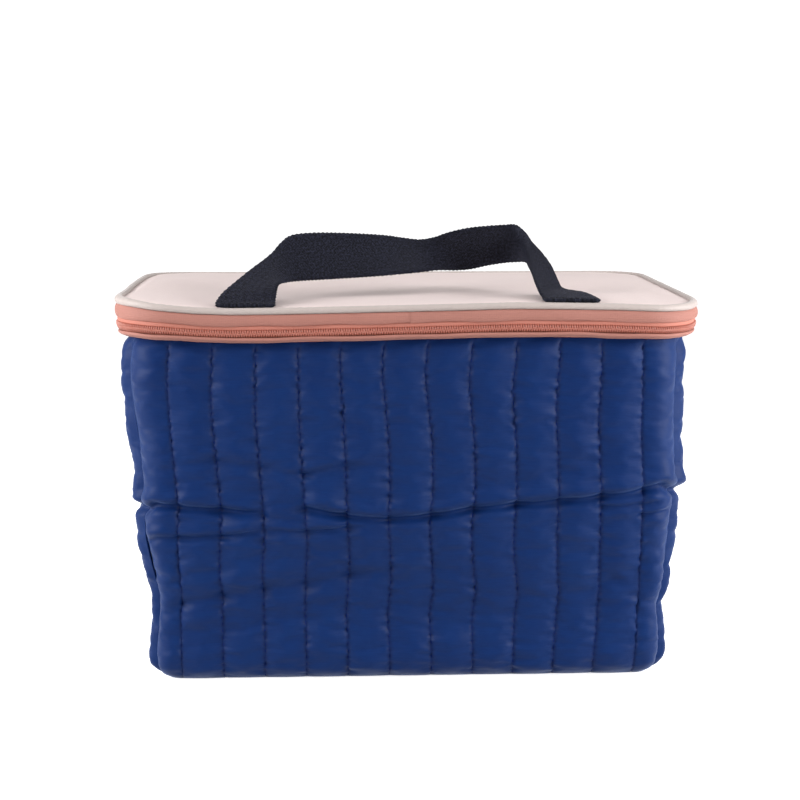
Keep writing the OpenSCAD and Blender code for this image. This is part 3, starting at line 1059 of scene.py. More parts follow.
def stitch_mesh() -> bpy.types.Mesh:
    """One bead of thread, a unit long and lying along x."""
    bm = bmesh.new()
    bmesh.ops.create_uvsphere(bm, u_segments=6, v_segments=5, radius=0.5)
    bmesh.ops.rotate(bm, verts=bm.verts[:], cent=(0, 0, 0), matrix=Matrix.Rotation(math.pi / 2, 3, "Y"))
    return as_mesh(bm, "stitch")


def upright(low: float, thick: float, foot: float) -> list[tuple[float, float]]:
    """Corners of an upright layer's cross section, from a depth and a thickness, up to the rim."""
    return [(low, foot), (low + thick, foot), (low + thick, RIM_Z), (low, RIM_Z)]


def length_along(points: Array) -> Array:
    """How far each point is along the line through all of them."""
    return np.concatenate([[0], np.cumsum(np.linalg.norm(np.diff(points, axis=0), axis=1))])


def repeated(template: bpy.types.Mesh, count: int) -> tuple[bpy.types.Mesh, Array, Array]:
    """Repeats a small shape many times in one mesh.

    Args:
        template: The shape, about its own origin.
        count: How many there are.

    Returns:
        The mesh, each vertex's place in its own copy, and its copy's number.
    """
    step = 10.0
    source = bpy.data.objects.new("template", template)
    bpy.context.scene.collection.objects.link(source)
    array = source.modifiers.new("row", "ARRAY")
    array.count = count
    array.use_relative_offset = False
    array.use_constant_offset = True
    array.constant_offset_displace = (step, 0, 0)
    shown = source.evaluated_get(bpy.context.evaluated_depsgraph_get())
    mesh = bpy.data.meshes.new_from_object(shown)
    bpy.data.objects.remove(source)
    number = np.arange(len(mesh.vertices)) // len(template.vertices)
    return mesh, np.tile(points_of(template), (count, 1)), number


def softened(
    corners: Sequence[tuple[float, float]], radius: float, longest: float = 3.0, steps: int = 3
) -> Array:
    """A closed cross section with its corners rounded and its long sides divided.

    Args:
        corners: Its corners in order, as depth and height.
        radius: Of the rounding.
        longest: Longest side left undivided.
        steps: Faces round each corner.

    Returns:
        Its points in order, without a repeat.
    """
    ring = np.array(corners, float)
    count = len(ring)
    rounded: list[Array] = []
    for i in range(count):
        before, here, after = ring[i - 1], ring[i], ring[(i + 1) % count]
        back, on = before - here, after - here
        r = min(radius, 0.45 * np.linalg.norm(back), 0.45 * np.linalg.norm(on))
        first = here + back / np.linalg.norm(back) * r
        last = here + on / np.linalg.norm(on) * r
        for t in np.linspace(0, 1, steps + 1):
            rounded.append((1 - t) ** 2 * first + 2 * t * (1 - t) * here + t * t * last)
    points: list[Array] = []
    for i, here in enumerate(rounded):
        after = rounded[(i + 1) % len(rounded)]
        pieces = max(1, math.ceil(np.linalg.norm(after - here) / longest))
        points.extend(here + (after - here) * k / pieces for k in range(pieces))
    return np.array(points)


@dataclass
class QuiltSwatch:
    """A flat swatch of the quilt, blown up between its rows of stitching by a cloth simulation."""

    channels: int = 13
    pitch: float = 19.6
    height_mm: float = 164.1
    steps: int = 10
    rows: int = 84
    frames: int = 22
    growth: float = 0.012
    crest: float = 2.2
    calm: float = 0.4

    def __post_init__(self) -> None:
        """Sews the swatch down along its rows of stitching and lets the wadding fill it."""
        columns = self.channels * self.steps
        mesh, u, v, _ = sheet_mesh("swatch", columns, self.rows)
        column, row = np.round(u * columns).astype(int), np.round(v * self.rows).astype(int)
        share = (column % self.steps) / self.steps
        seeds = Ripples(41, (30, 90), (7, 22), 18)
        x, z = u * self.channels * self.pitch, v * self.height_mm
        start = 0.5 * np.sin(math.pi * share) * (1 + 0.1 * seeds.at(x + 61.0 * (column // self.steps), z))
        move_points(mesh, np.column_stack([x, z, start]) * MM)
        piece = bpy.data.objects.new("swatch", mesh)
        bpy.context.scene.collection.objects.link(piece)
        held = piece.vertex_groups.new(name="sewn")
        fixed = (column % self.steps == 0) | (row == 0) | (row == self.rows)
        held.add(np.flatnonzero(fixed).tolist(), 1.0, "REPLACE")
        self.simulate(piece)
        shown = piece.evaluated_get(bpy.context.evaluated_depsgraph_get())
        lift = points_of(shown.to_mesh())[:, 2] / MM
        shown.to_mesh_clear()
        bpy.context.scene.frame_set(1)
        bpy.data.objects.remove(piece)
        bpy.data.meshes.remove(mesh)
        self.table = np.zeros((self.rows + 1, columns + 1))
        self.table[row, column] = lift
        self.table *= self.crest / max(np.percentile(self.table, 85), 1e-6)
        inner = slice(self.rows // 6, -self.rows // 6)
        even = np.tile(self.table[inner].mean(0), (self.rows + 1, 1))
        self.table = np.clip(self.calm * even + (1 - self.calm) * self.table, -0.5, 1.6 * self.crest)
        LOG.info("the swatch rose by %.2f mm at most, %.2f mm in the mean", lift.max(), lift.mean())

    def simulate(self, piece: bpy.types.Object) -> None:
        """Runs the cloth simulation on a piece.

        Args:
            piece: The swatch, with its vertex group of sewn points.
        """
        cloth = piece.modifiers.new("cloth", "CLOTH")
        settings = cloth.settings
        settings.quality = 6
        settings.mass = 0.15
        settings.tension_stiffness = settings.compression_stiffness = 14.0
        settings.shear_stiffness = 5.0
        settings.bending_stiffness = 2.0
        settings.use_pressure = True
        settings.uniform_pressure_force = 40.0
        settings.shrink_min = settings.shrink_max = -self.growth
        settings.effector_weights.gravity = 0.0
        settings.vertex_group_mass = "sewn"
        settings.pin_stiffness = 1.0
        cloth.point_cache.frame_start = 1
        cloth.point_cache.frame_end = self.frames
        for frame_number in range(1, self.frames + 1):
            bpy.context.scene.frame_set(frame_number)

    def height(self, number: Array, share: Array, z: Array) -> Array:
        """How high the cloth stands over the stitching.

        Args:
            number: The channel's number.
            share: The share of its width.
            z: Height above the floor, in millimetres.

        Returns:
            The heights, in millimetres.
        """
        own = np.mod(number * 5, self.channels)
        turned = np.where(number % 2 == 1, 1 - share, share)
        across = own * self.steps + turned * self.steps
        up = np.clip(z / self.height_mm, 0, 1) * self.rows
        i, j = np.floor(up).astype(int), np.floor(across).astype(int)
        fi, fj = up - i, across - j
        low, high = own * self.steps, (own + 1) * self.steps
        total = np.zeros_like(z, dtype=float)
        for di in range(-1, 3):
            r = np.clip(i + di, 0, self.rows)
            line = np.zeros_like(total)
            for dj in range(-1, 3):
                k = j + dj
                inside = np.clip(k, low, high).astype(int)
                mirrored = np.clip(2 * inside - k, 0, self.table.shape[1] - 1)
                value = np.where(k == inside, self.table[r, inside], -self.table[r, mirrored])
                line += value * self.weight(fj, dj)
            total += line * self.weight(fi, di)
        return total

    @staticmethod
    def weight(part: Array, step: int) -> Array:
        """Share that a neighbour, some whole steps away, has in a smooth cubic curve."""
        away = np.abs(part - step)
        near = 1.5 * away**3 - 2.5 * away**2 + 1
        far = -0.5 * away**3 + 2.5 * away**2 - 4 * away + 2
        return np.where(away < 1, near, np.where(away < 2, far, 0.0))


class Tailor:
    """Lays cloth and cords on the bag's form and reports each piece."""

    def __init__(self, form: BagForm, finishes: Wardrobe) -> None:
        """Keeps the form and the finishes."""
        self.form = form
        self.finishes = finishes

    def wear(self, piece: bpy.types.Object, body: Body, slot: str, *nodes: str) -> bpy.types.Object:
        """Makes a piece ride on a body, stand for its nodes and be reported."""
        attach(piece, body.value)
        if nodes:
            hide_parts(*nodes)
        faces = len(piece.data.polygons)
        LOG.info("%s rides on %s, %d faces, for %s", piece.name, body.value, faces, list(nodes))
        return piece

    def hoop(
        self,
        name: str,
        section: Array,
        material: bpy.types.Material,
        span: tuple[float, float] | None = None,
        columns: int = 480,
        on_wall: bool = False,
        relief: Callable[[Array, Array, Array], tuple[Array, Array]] | None = None,
    ) -> bpy.types.Object:
        """Sweeps a closed cross section along the outline.

        Args:
            name: The piece's name.
            section: Depths and heights of the cross section, in order.
            material: Its finish.
            span: Where it starts and ends along the outline; nothing for all the way round.
            columns: Faces along it.
            on_wall: Whether depths run in from the wall, or from the lid's outline.
            relief: Changes the depths and heights along the way.

        Returns:
            The piece.
        """
        ring = np.vstack([section, section[:1]])
        mesh, u, v, _ = sheet_mesh(name, columns, len(section))
        start, end = span or (0.0, self.form.outline.around)
        s = start + (end - start) * u
        place = v * len(section)
        depth = np.interp(place, np.arange(len(ring)), ring[:, 0])
        z = np.interp(place, np.arange(len(ring)), ring[:, 1])
        map_cloth(mesh, np.column_stack([s, np.interp(place, np.arange(len(ring)), length_along(ring))]))
        if relief:
            depth, z = relief(s, depth, z)
        lay = self.form.on_wall if on_wall else self.form.on_lid
        move_points(mesh, lay(s, depth, z) * MM)
        sew_up(mesh, 2e-6, fill_ends=span is not None)
        return finished(name, mesh, material)

    def disc(
        self,
        name: str,
        inset: float,
        low: float,
        high: float,
        material: bpy.types.Material,
        crown: Callable[[Array, Array, Array], Array] | None = None,
        rings: int = 40,
        columns: int = 240,
    ) -> bpy.types.Object:
        """Makes a flat cloth panel with the bag's outline and softly rounded edges.

        Args:
            name: The piece's name.
            inset: Distance of its edge from the lid's outline.
            low: Height of its underside.
            high: Height of its top.
            material: Its finish.
            crown: Extra height from x, y and the distance to the edge, all in millimetres.
            rings: Faces from its edge to its middle.
            columns: Faces round it.

        Returns:
            The piece.
        """
        turn = np.radians(np.linspace(90, 0, 4))
        edge = 0.45 * (high - low)
        reach = np.linspace(1, 0, rings + 1) ** 1.6
        rim = [(0.0, high - edge + edge * math.sin(t), edge * (1 - math.cos(t))) for t in turn[1:]]
        under = [(0.0, low + edge - edge * math.sin(t), edge * (1 - math.cos(t))) for t in turn[:0:-1]]
        path = [(share, high, edge) for share in reach] + rim + under
        path += [(share, low, edge) for share in reach[::-1]]
        rows = len(path) - 1
        mesh, u, v, _ = sheet_mesh(name, columns, rows)
        table = np.array(path)
        k = np.round(v * rows).astype(int)
        share, z, tuck = table[k, 0], table[k, 1].copy(), table[k, 2]
        s = u * self.form.outline.around
        roll = self.form.barrel(s, np.full_like(s, high)) if high > self.form.heights.chain else 0.0
        x, y, _ = self.form.outline.place(s, inset + tuck + roll)
        x, y = x * (1 - share), y * (1 - share)
        if crown:
            ex, ey, _ = self.form.outline.place(s, inset + roll + np.zeros_like(s))
            away = np.hypot(ex - x, ey - y)
            z = z + crown(x, y, away)
        move_points(mesh, self.form.settle(np.column_stack([x, y, z])) * MM)
        sew_up(mesh, 2e-6)
        return finished(name, mesh, material)


# ---------------------------------------------------------------- the bag's pieces


@dataclass
class QuiltedBody:
    """The four padded walls with their rows of stitching, and the cloth of the base."""

    tailor: Tailor
    seam_gap: float = 0.02
    crowding: float = 0.09
    stitch_pitch: float = 3.3
    stitch: tuple[float, float, float] = (2.3, 0.55, 0.4)
    columns_per_channel: int = 18
    rows: int = 168

    def panel(self, name: str, lines: Array) -> bpy.types.Object:
        """Lays one padded wall between two upright seams.

        Args:
            name: The CAD node that it stands for.
            lines: Its seams and the rows of stitching between them, along the outline.

        Returns:
            The panel.
        """
        form = self.tailor.form
        channels = len(lines) - 1
        mesh, u, v, w = sheet_mesh(name, channels * self.columns_per_channel, self.rows, True)
        place = u * channels
        place = place - self.crowding * np.sin(2 * math.pi * place)
        s = np.interp(place, np.arange(channels + 1), lines)
        s = np.clip(s, lines[0] + self.seam_gap, lines[-1] - self.seam_gap)
        s = s - form.wander(s, v * form.heights.wall_top)
        z = v * form.heights.wall_top
        map_cloth(mesh, np.column_stack([s, z]))
        away = np.abs((s + form.wander(s, z))[:, None] - lines[None, 1:-1]).min(1)
        map_cloth(mesh, np.column_stack([away, z / self.stitch_pitch]), SatinQuilt.ROWS)
        face = w < 0.5
        points = form.on_wall(s, np.where(face, 0.0, form.heights.panel - 0.1), z, np.where(face, 1.0, 0.0))
        move_points(mesh, points * MM)
        sew_up(mesh, 1e-7)
        piece = finished(name + "_quilt", mesh, self.tailor.finishes.quilt)
        return self.tailor.wear(piece, Body.BASE, "quilted_cloth", name)

    def thread(self, name: str, lines: Array) -> bpy.types.Object:
        """Sews the rows of stitching between the channels of one wall.

        Args:
            name: The wall's name.
            lines: Where they run, along the outline.

        Returns:
            The rows, as one piece.
        """
        form = self.tailor.form
        count = int(form.heights.wall_top // self.stitch_pitch)
        mesh, local, number = repeated(stitch_mesh(), count * len(lines))
        rng = np.random.default_rng(5)
        jitter = rng.normal(0, 1, (count * len(lines), 3))
        row = lines[number // count]
        long, wide, thick = self.stitch
        long = long + 0.15 * jitter[number, 1]
        z = (number % count + 0.6) * self.stitch_pitch + local[:, 0] * long + 0.12 * jitter[number, 2]
        z = np.clip(z, 0.4, form.heights.wall_top - 0.3)
        s = row - form.wander(row, z) + local[:, 1] * wide + 0.08 * jitter[number, 0]
        depth = 0.06 - local[:, 2] * thick + 0.45 * (np.abs(local[:, 0]) * 2) ** 4
        move_points(mesh, form.on_wall(s, depth, z, 1.0) * MM)
        piece = finished(name + "_thread", mesh, self.tailor.finishes.quilt_thread)
        return self.tailor.wear(piece, Body.BASE, "thread")

    def build(self) -> None:
        """Makes every piece of the padded body."""
        form = self.tailor.form
        for i, name in enumerate(("front_panel", "right_panel", "back_panel", "left_panel")):
            start, end = form.seams[i], form.seams[i + 1]
            lines = form.lines[(form.lines > start - 1) & (form.lines < end + 1)]
            self.panel(name, lines)
            self.thread(name, lines[1:-1])
        base_inset = form.wall_inset(0.0) + form.heights.panel - 0.2
        sag = Ripples(61, (30, 90), (30, 90), 10)
        base = self.tailor.disc(
            "base_cloth", base_inset, 0.15, form.heights.cloth, self.tailor.finishes.base_cloth,
            lambda x, y, away: 0.12 * ramp(away, 12) * (1 + sag.at(x, y)),
        )
        self.tailor.wear(base, Body.BASE, "quilted_cloth", "bottom_panel")


@dataclass
class Interior:
    """What keeps the food cold: foam, wipe-clean lining and the tapes over its seams."""

    tailor: Tailor

    def build(self) -> None:
        """Makes the foam, the lining and the bindings."""
        form, finishes, tailor = self.tailor.form, self.tailor.finishes, self.tailor
        h = form.heights
        foam_low = h.panel + h.gap + 0.5
        lining_low = h.panel + h.foam + 2 * h.gap
        floor = h.cloth + h.foam + h.lining + 2 * h.gap
        crinkle = Ripples(71, (24, 60), (20, 70), 14)
        foam = tailor.hoop(
            "wall_foam_sheet", softened(upright(foam_low, h.foam - 0.5, 5.0), 0.6, 1.6),
            finishes.foam, columns=420, on_wall=True,
        )
        tailor.wear(foam, Body.BASE, "foam", "wall_foam")
        lining = tailor.hoop(
            "wall_lining_film", softened(upright(lining_low, h.lining, 6.0), 0.3, 3.0),
            finishes.lining, columns=360, on_wall=True,
            relief=lambda s, depth, z: (
                depth + np.clip(0.5 * (1 + crinkle.at(s, z)), 0, 1.6) * ramp(158 - z, 12) * ramp(z, 30), z
            ),
        )
        tailor.wear(lining, Body.BASE, "lining", "wall_lining")
        inset = form.wall_inset(0.0) + h.panel + h.gap
        pad_low = h.cloth + h.gap
        pad = tailor.disc("bottom_foam_sheet", inset, pad_low, pad_low + h.foam, finishes.foam, rings=12)
        tailor.wear(pad, Body.BASE, "foam", "bottom_foam")
        wave = Ripples(83, (30, 80), (30, 80), 12)
        film = tailor.disc(
            "bottom_lining_film", inset, floor - h.lining, floor, finishes.lining,
            lambda x, y, away: 0.35 * ramp(away, 20) * (wave.at(x, y) + 1),
        )
        tailor.wear(film, Body.BASE, "lining", "bottom_lining")
        outer = form.wall_inset(floor) + lining_low + h.lining + 0.2
        corners = [
            (outer, floor + 0.1), (outer + 2, floor + 0.1), (outer + 1.7, floor + 1.4),
            (outer + 0.3, floor + 2.0),
        ]
        low = tailor.hoop("bottom_seam_tape", softened(corners, 0.6, 1.0), finishes.binding, columns=300)
        tailor.wear(low, Body.BASE, "binding", "bottom_seam_binding")
        leg = form.wall_inset(h.wall_top - 10) + lining_low + h.lining + 0.1
        corners = [
            (7.3, 164.2), (7.3, 165.1), (leg + 0.9, 165.2), (leg + 1.1, 154.1), (leg + 0.1, 154.1),
            (leg, 164.2),
        ]
        rim = tailor.hoop(
            "rim_tape", softened(corners, 0.5, 1.4), finishes.coral, columns=420,
            relief=lambda s, depth, z: (depth + 0.25 * crinkle.at(s, 3 * z) * ramp(164 - z, 6), z),
        )
        tailor.wear(rim, Body.BASE, "binding", "rim_binding")


@dataclass
class Zip:
    """The coil zip round the front and the sides."""

    tailor: Tailor
    pitch: float = 1.1
    filament: float = 0.48
    set_in: float = 1.72
    half_length: float = 251.38
    tape_end: float = 306.8
    BEND = (
        (-1.3, 0.15), (-1.38, 0.7), (-1.1, 1.12), (-0.5, 1.24), (0.1, 1.2), (0.45, 1.0), (0.56, 0.6),
        (0.4, 0.2),
    )
    WELT = (
        (0.9, 164.25), (1.75, 164.2), (1.75, 166.4), (1.0, 166.75), (0.0, 166.65), (-0.45, 166.0),
        (-0.35, 165.2),
    )
    LOWER = ((1.8, 164.2), (7.15, 164.2), (7.15, 164.7), (2.3, 164.72), (2.3, 168.2), (1.8, 168.2))
    UPPER = (
        (1.8, 169.0), (2.3, 168.9), (2.3, 176.9), (1.8, 176.9), (1.7, 172.6), (1.0, 171.6), (1.0, 170.3),
    )

    def tooth(self) -> bpy.types.Mesh:
        """One turn of the coil: a bent filament from the tape to its head past the middle.

        Returns:
            The mesh, with x along the zip, y across it and z out of it, in millimetres.
        """
        path = np.array(self.BEND)
        mesh, u, v, _ = sheet_mesh("tooth", 6, len(path) - 1)
        turn = 2 * math.pi * u
        k = np.round(v * (len(path) - 1)).astype(int)
        ahead = path[np.minimum(k + 1, len(path) - 1)] - path[np.maximum(k - 1, 0)]
        ahead /= np.linalg.norm(ahead, axis=1, keepdims=True)
        normal = np.column_stack([-ahead[:, 1], ahead[:, 0]])
        flat = path[k] + normal * (self.filament * np.sin(turn))[:, None]
        move_points(mesh, np.column_stack([self.filament * np.cos(turn) + 0.06 * path[k, 0], flat]))
        sew_up(mesh, 1e-4, fill_ends=True)
        return mesh

    def coil(self, name: str, body: Body, upwards: bool, node: str) -> bpy.types.Object:
        """Rows the coil's teeth along the zip.

        Args:
            name: The piece's name.
            body: What it rides on.
            upwards: Whether its teeth point up.
            node: The CAD node that it stands for.

        Returns:
            The coil.
        """
        form = self.tailor.form
        count = int(2 * self.half_length / self.pitch)
        mesh, local, number = repeated(self.tooth(), count)
        side = 1.0 if upwards else -1.0
        s = -self.half_length + (number + (0.25 if upwards else 0.75)) * self.pitch + local[:, 0]
        z = form.heights.chain + side * local[:, 1]
        move_points(mesh, form.on_lid(s, self.set_in - local[:, 2], z) * MM)
        sew_up(mesh)
        piece = finished(name, mesh, self.tailor.finishes.coil)
        return self.tailor.wear(piece, body, "zip_coil", node)

    def build(self) -> None:
        """Makes the welt, both tapes, both coils and the end stops."""
        tailor, finishes = self.tailor, self.tailor.finishes
        ends = (-self.tape_end, self.tape_end)
        soft = Ripples(91, (18, 60), (40, 90), 12)
        welt = tailor.hoop(
            "zip_welt", softened(self.WELT, 0.4, 0.7), finishes.welt, ends, 620,
            relief=lambda s, depth, z: (depth + 0.08 * soft.at(s, z), z + 0.12 * soft.at(s + 50, z)),
        )
        tailor.wear(welt, Body.BASE, "coral_cloth", "lower_zip_welt")
        lower = tailor.hoop("lower_tape", softened(self.LOWER, 0.15, 0.8, 2), finishes.tape, ends)
        tailor.wear(lower, Body.BASE, "coral_cloth", "lower_zip_tape")
        upper = tailor.hoop("upper_tape", softened(self.UPPER, 0.3, 0.7, 2), finishes.tape, ends)
        tailor.wear(upper, Body.LID, "coral_cloth", "upper_zip_tape")
        self.coil("lower_teeth", Body.BASE, True, "lower_coil")
        self.coil("upper_teeth", Body.LID, False, "upper_coil")
        dress_node("zip_end_stops", finishes.coral_thread)


@dataclass
class Lid:
    """The padded lid: blush cloth, foam, lining, corded piping and the coral band."""

    tailor: Tailor
    cord: float = 1.5
    hinge_y: float = 0.0837
    hinge_half_length: float = 106.9
    BAND = ((0.35, 171.9), (1.6, 172.2), (1.6, 176.9), (0.85, 176.9), (0.15, 175.4), (0.0, 173.6))
    HINGE = ((0.35, 164.2), (7.15, 164.2), (7.15, 165.2), (1.5, 165.3), (1.45, 172.6), (0.35, 172.6))

    def crown(self, x: Array, y: Array, away: Array) -> Array:
        """Extra height of the lid's cloth: full in the middle, drawn down where it is sewn.

        Args:
            x: Place across the lid, in millimetres.
            y: Place along its depth.
            away: Distance from its sewn edge.

        Returns:
            The height to add.
        """
        swell = Ripples(101, (60, 160), (50, 130), 10)
        tucks = Ripples(103, (9, 26), (9, 26), 16)
        full = 0.9 * (1 - np.exp(-away / 22)) - 0.35 - 0.95 * bell(away, 3.0)
        gathered = 0.12 * tucks.at(x, y) * np.exp(-away / 9) * ramp(away, 3)
        return full + 0.3 * swell.at(x, y) * ramp(away, 25) + gathered

    def fullness(self, s: Array, z: Array) -> Array:
        """How thick the corded edge is along the way: ruched a little, and fuller at the sides."""
        _, _, angle = self.tailor.form.outline.place(s, np.zeros_like(s))
        ruche = Ripples(109, (2.6, 5.0), (30, 90), 12)
        return 1 + 0.018 * ruche.at(s, z) + 0.24 * np.cos(angle) ** 2

    def build(self) -> None:
        """Makes every layer of the lid."""
        tailor, finishes, form = self.tailor, self.tailor.finishes, self.tailor.form
        h = form.heights
        top = tailor.disc(
            "lid_cloth", 2.6, h.lid_top - h.cloth, h.lid_top, finishes.blush, self.crown, 60, 320
        )
        tailor.wear(top, Body.LID, "lid_cloth", "lid_panel")
        foam_top = h.lid_top - h.cloth - h.gap
        foam = tailor.disc("lid_foam_sheet", 3.2, foam_top - h.foam, foam_top - 0.3, finishes.foam, rings=14)
        tailor.wear(foam, Body.LID, "foam", "lid_foam")
        crinkle = Ripples(107, (30, 90), (30, 80), 12)
        film_top = foam_top - h.foam - h.gap
        film = tailor.disc(
            "lid_lining_film", 3.2, film_top - h.lining, film_top, finishes.lining,
            lambda x, y, away: -0.3 * ramp(away, 20) * (1 + crinkle.at(x, y)),
        )
        tailor.wear(film, Body.LID, "lining", "lid_lining")
        low = film_top - h.lining - h.gap
        corners = [(2.4, low - 2.0), (4.4, low - 1.6), (4.4, low), (2.4, low)]
        binding = tailor.hoop("lid_seam_tape", softened(corners, 0.5, 1.0), finishes.binding, columns=360)
        tailor.wear(binding, Body.LID, "binding", "lid_seam_binding")
        turn = np.linspace(0, 2 * math.pi, 17)[:-1]
        r, middle = self.cord, h.lid_top - self.cord
        cord = tailor.hoop(
            "lid_cord", np.column_stack([r + r * np.cos(turn), middle + r * np.sin(turn)]),
            finishes.piping, columns=900,
            relief=lambda s, depth, z: (
                r + (depth - r) * self.fullness(s, z), middle + (z - middle) * self.fullness(s, z)
            ),
        )
        tailor.wear(cord, Body.LID, "piping", "lid_piping")
        roll = Ripples(113, (26, 80), (40, 90), 12)
        band = tailor.hoop(
            "lid_band_cloth", softened(self.BAND, 0.5, 0.7), finishes.coral, columns=620,
            relief=lambda s, depth, z: (
                depth + 0.1 * roll.at(s, z), z + ramp(form.BAND_Z - z, 3) * 0.16 * roll.at(s + 40, z)
            ),
        )
        tailor.wear(band, Body.LID, "coral_cloth", "lid_band")
        far = 2 * form.outline.quarter
        span = (far - self.hinge_half_length, far + self.hinge_half_length)
        hinge = tailor.hoop("back_fold", softened(self.HINGE, 0.2, 0.7, 2), finishes.coral, span, 200)
        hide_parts("hinge_strip")
        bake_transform(hinge)
        LOG.info("%s bends between base and lid, %d faces", hinge.name, len(hinge.data.polygons))


@dataclass
class Handle:
    """The webbing handle, sewn down at both feet."""

    tailor: Tailor
    width: float = 25.0
    thick: float = 1.6
    origin: tuple[float, float, float] = (0.0, -75.7, 181.9)
    foot_x: float = 72.5
    sewn_y: float = -79.6
    sewn_z: float = 181.82
    stitch: tuple[float, float, float] = (2.3, 0.5, 0.4)
    OUTER = (
        (-86.8, -5.4, -1), (-86.8, -3, -1), (-86.8, -0.5, 0.4), (-83.4, 6.5, 4.4), (-74, 18.5, 11.2),
        (-64, 28.5, 18), (-59, 32, 23.5), (-54.5, 34.5, 26.5), (-45, 36.5, 27.5), (-29, 40, 27),
        (-11, 45, 25.5), (-2, 48.5, 24), (7, 49, 23), (13.5, 42, 25), (19.5, 38, 27.5), (28, 37, 29.5),
        (37, 36.5, 30.5), (46.5, 36.5, 31), (51.5, 37, 31), (55.5, 42, 28.5), (59.5, 43.5, 23),
        (63.5, 36.5, 18), (67.3, 28.5, 12), (69.6, 20.5, 5.6), (71.8, 13.5, 1.9), (81, 8.5, 0.8),
        (85.6, 0.5, -0.6), (85.6, -5.4, -1),
    )
    INNER = (
        (-60.3, -5.4, -1), (-60.3, -3, -1), (-60.3, 0, 0.4), (-59.8, 3, 4), (-59.3, 5, 6), (-58.5, 8, 6.8),
        (-56.5, 14, 6.8), (-52.5, 19, 6.8), (-45.5, 22.5, 6.8), (-31.5, 25.5, 7), (-13.5, 28, 7.6),
        (-3, 29.5, 8.2), (6, 33, 8.6), (16, 43, 9), (24, 50, 8.6), (31.5, 51.5, 9), (40, 51.5, 10.8),
        (48.5, 49.5, 12.2), (53.5, 43, 12.8), (56, 32, 13), (56.5, 22, 10.8), (57, 14.5, 8.2),
        (57.3, 8, 5.4), (58, 3, 3), (58.8, 0.5, 1.2), (59.6, -1, 0), (60, -3, -1), (60, -5.4, -1),
    )

    @staticmethod
    def smooth(points: Array, t: Array) -> Array:
        """Places on a smooth curve through points.

        Args:
            points: The points.
            t: Their number, with parts.

        Returns:
            One place for each t.
        """
        last = len(points) - 1
        i = np.clip(np.floor(t).astype(int), 0, last - 1)
        f = (t - i)[:, None]
        a, b = points[np.maximum(i - 1, 0)], points[i]
        c, d = points[i + 1], points[np.minimum(i + 2, last)]
        second, third = 2 * a - 5 * b + 4 * c - d, 3 * b - a - 3 * c + d
        return 0.5 * (2 * b + (c - a) * f + second * f**2 + third * f**3)

    def weave(self) -> None:
        """Lays the webbing between its two edges, from foot to foot."""
        outer = np.array(self.OUTER, float) + np.array(self.origin)
        inner = np.array(self.INNER, float) + np.array(self.origin)
        mesh, u, v, w = sheet_mesh("strap", 320, 26, True)
        fine = np.linspace(0, len(outer) - 1, 1200)
        run = length_along((self.smooth(outer, fine) + self.smooth(inner, fine)) / 2)
        s = u * run[-1]
        t = np.interp(s, run, fine)
        middle = (self.smooth(outer, t) + self.smooth(inner, t)) / 2
        across = self.smooth(inner, t) - self.smooth(outer, t)
        width = np.linalg.norm(across, axis=1, keepdims=True)
        side = across / width
        before, after = np.maximum(t - 0.06, 0), np.minimum(t + 0.06, len(outer) - 1)
        behind = self.smooth(outer, before) + self.smooth(inner, before)
        up = np.cross(side, self.smooth(outer, after) + self.smooth(inner, after) - behind)
        up /= np.linalg.norm(up, axis=1, keepdims=True)
        edge = np.abs(2 * v - 1)
        round_off = np.sqrt(np.clip(1 - ramp(edge - 0.93, 0.07) ** 2, 0.02, 1))
        cup = 0.5 * edge**2 * ramp(np.minimum(u, 1 - u) * 12 - 0.4)
        fray = Ripples(131, (2.0, 5.5), (9, 30), 12)
        lift = (0.5 - w) * self.thick * round_off + cup + 0.05 * fray.at(s, v * self.width)
        picks = 1 + 0.02 * np.sin(s * 2 * math.pi / 1.9) * ramp(edge - 0.9, 0.1)
        points = middle + side * ((v - 0.5) * picks)[:, None] * width + up * lift[:, None]
        map_cloth(mesh, np.column_stack([s, v * self.width]))
        move_points(mesh, self.tailor.form.settle(points) * MM)
        sew_up(mesh, 1e-7)
        strap = finished("webbing_strap", mesh, self.tailor.finishes.webbing)
        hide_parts("handle_strap", "handle_foot_left", "handle_foot_right")
        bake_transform(strap)
        LOG.info("%s bends between lid and handle, %d faces", strap.name, len(strap.data.polygons))

    def sew(self) -> None:
        """Sews two rows of stitches through each foot."""
        places = [
            (x + offset, self.sewn_y + row, self.sewn_z)
            for x in (-self.foot_x, self.foot_x)
            for row in (0.0, 1.5)
            for offset in np.arange(-11.2, 11.3, 2.8)
        ]
        mesh, local, number = repeated(stitch_mesh(), len(places))
        local[:, 0] = np.sign(local[:, 0]) * (np.abs(local[:, 0]) * 2) ** 0.7 / 2
        middles = self.tailor.form.settle(np.array(places))
        move_points(mesh, (middles[number] + local * self.stitch) * MM)
        sewing = finished("foot_stitches", mesh, self.tailor.finishes.black_thread)
        self.tailor.wear(sewing, Body.LID, "thread", "handle_stitches")

    def build(self) -> None:
        """Makes the webbing and its stitching."""
        self.weave()
        self.sew()


def dress_node(node: str, material: bpy.types.Material) -> None:
    """Gives a carried-over CAD node its finish.

    Args:
        node: The node's name.
        material: Its finish.
    """
    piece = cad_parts[node]
    for slot in piece.material_slots:
        slot.material = material
    LOG.info("%s keeps its own shape", node)


# ---------------------------------------------------------------- the studio


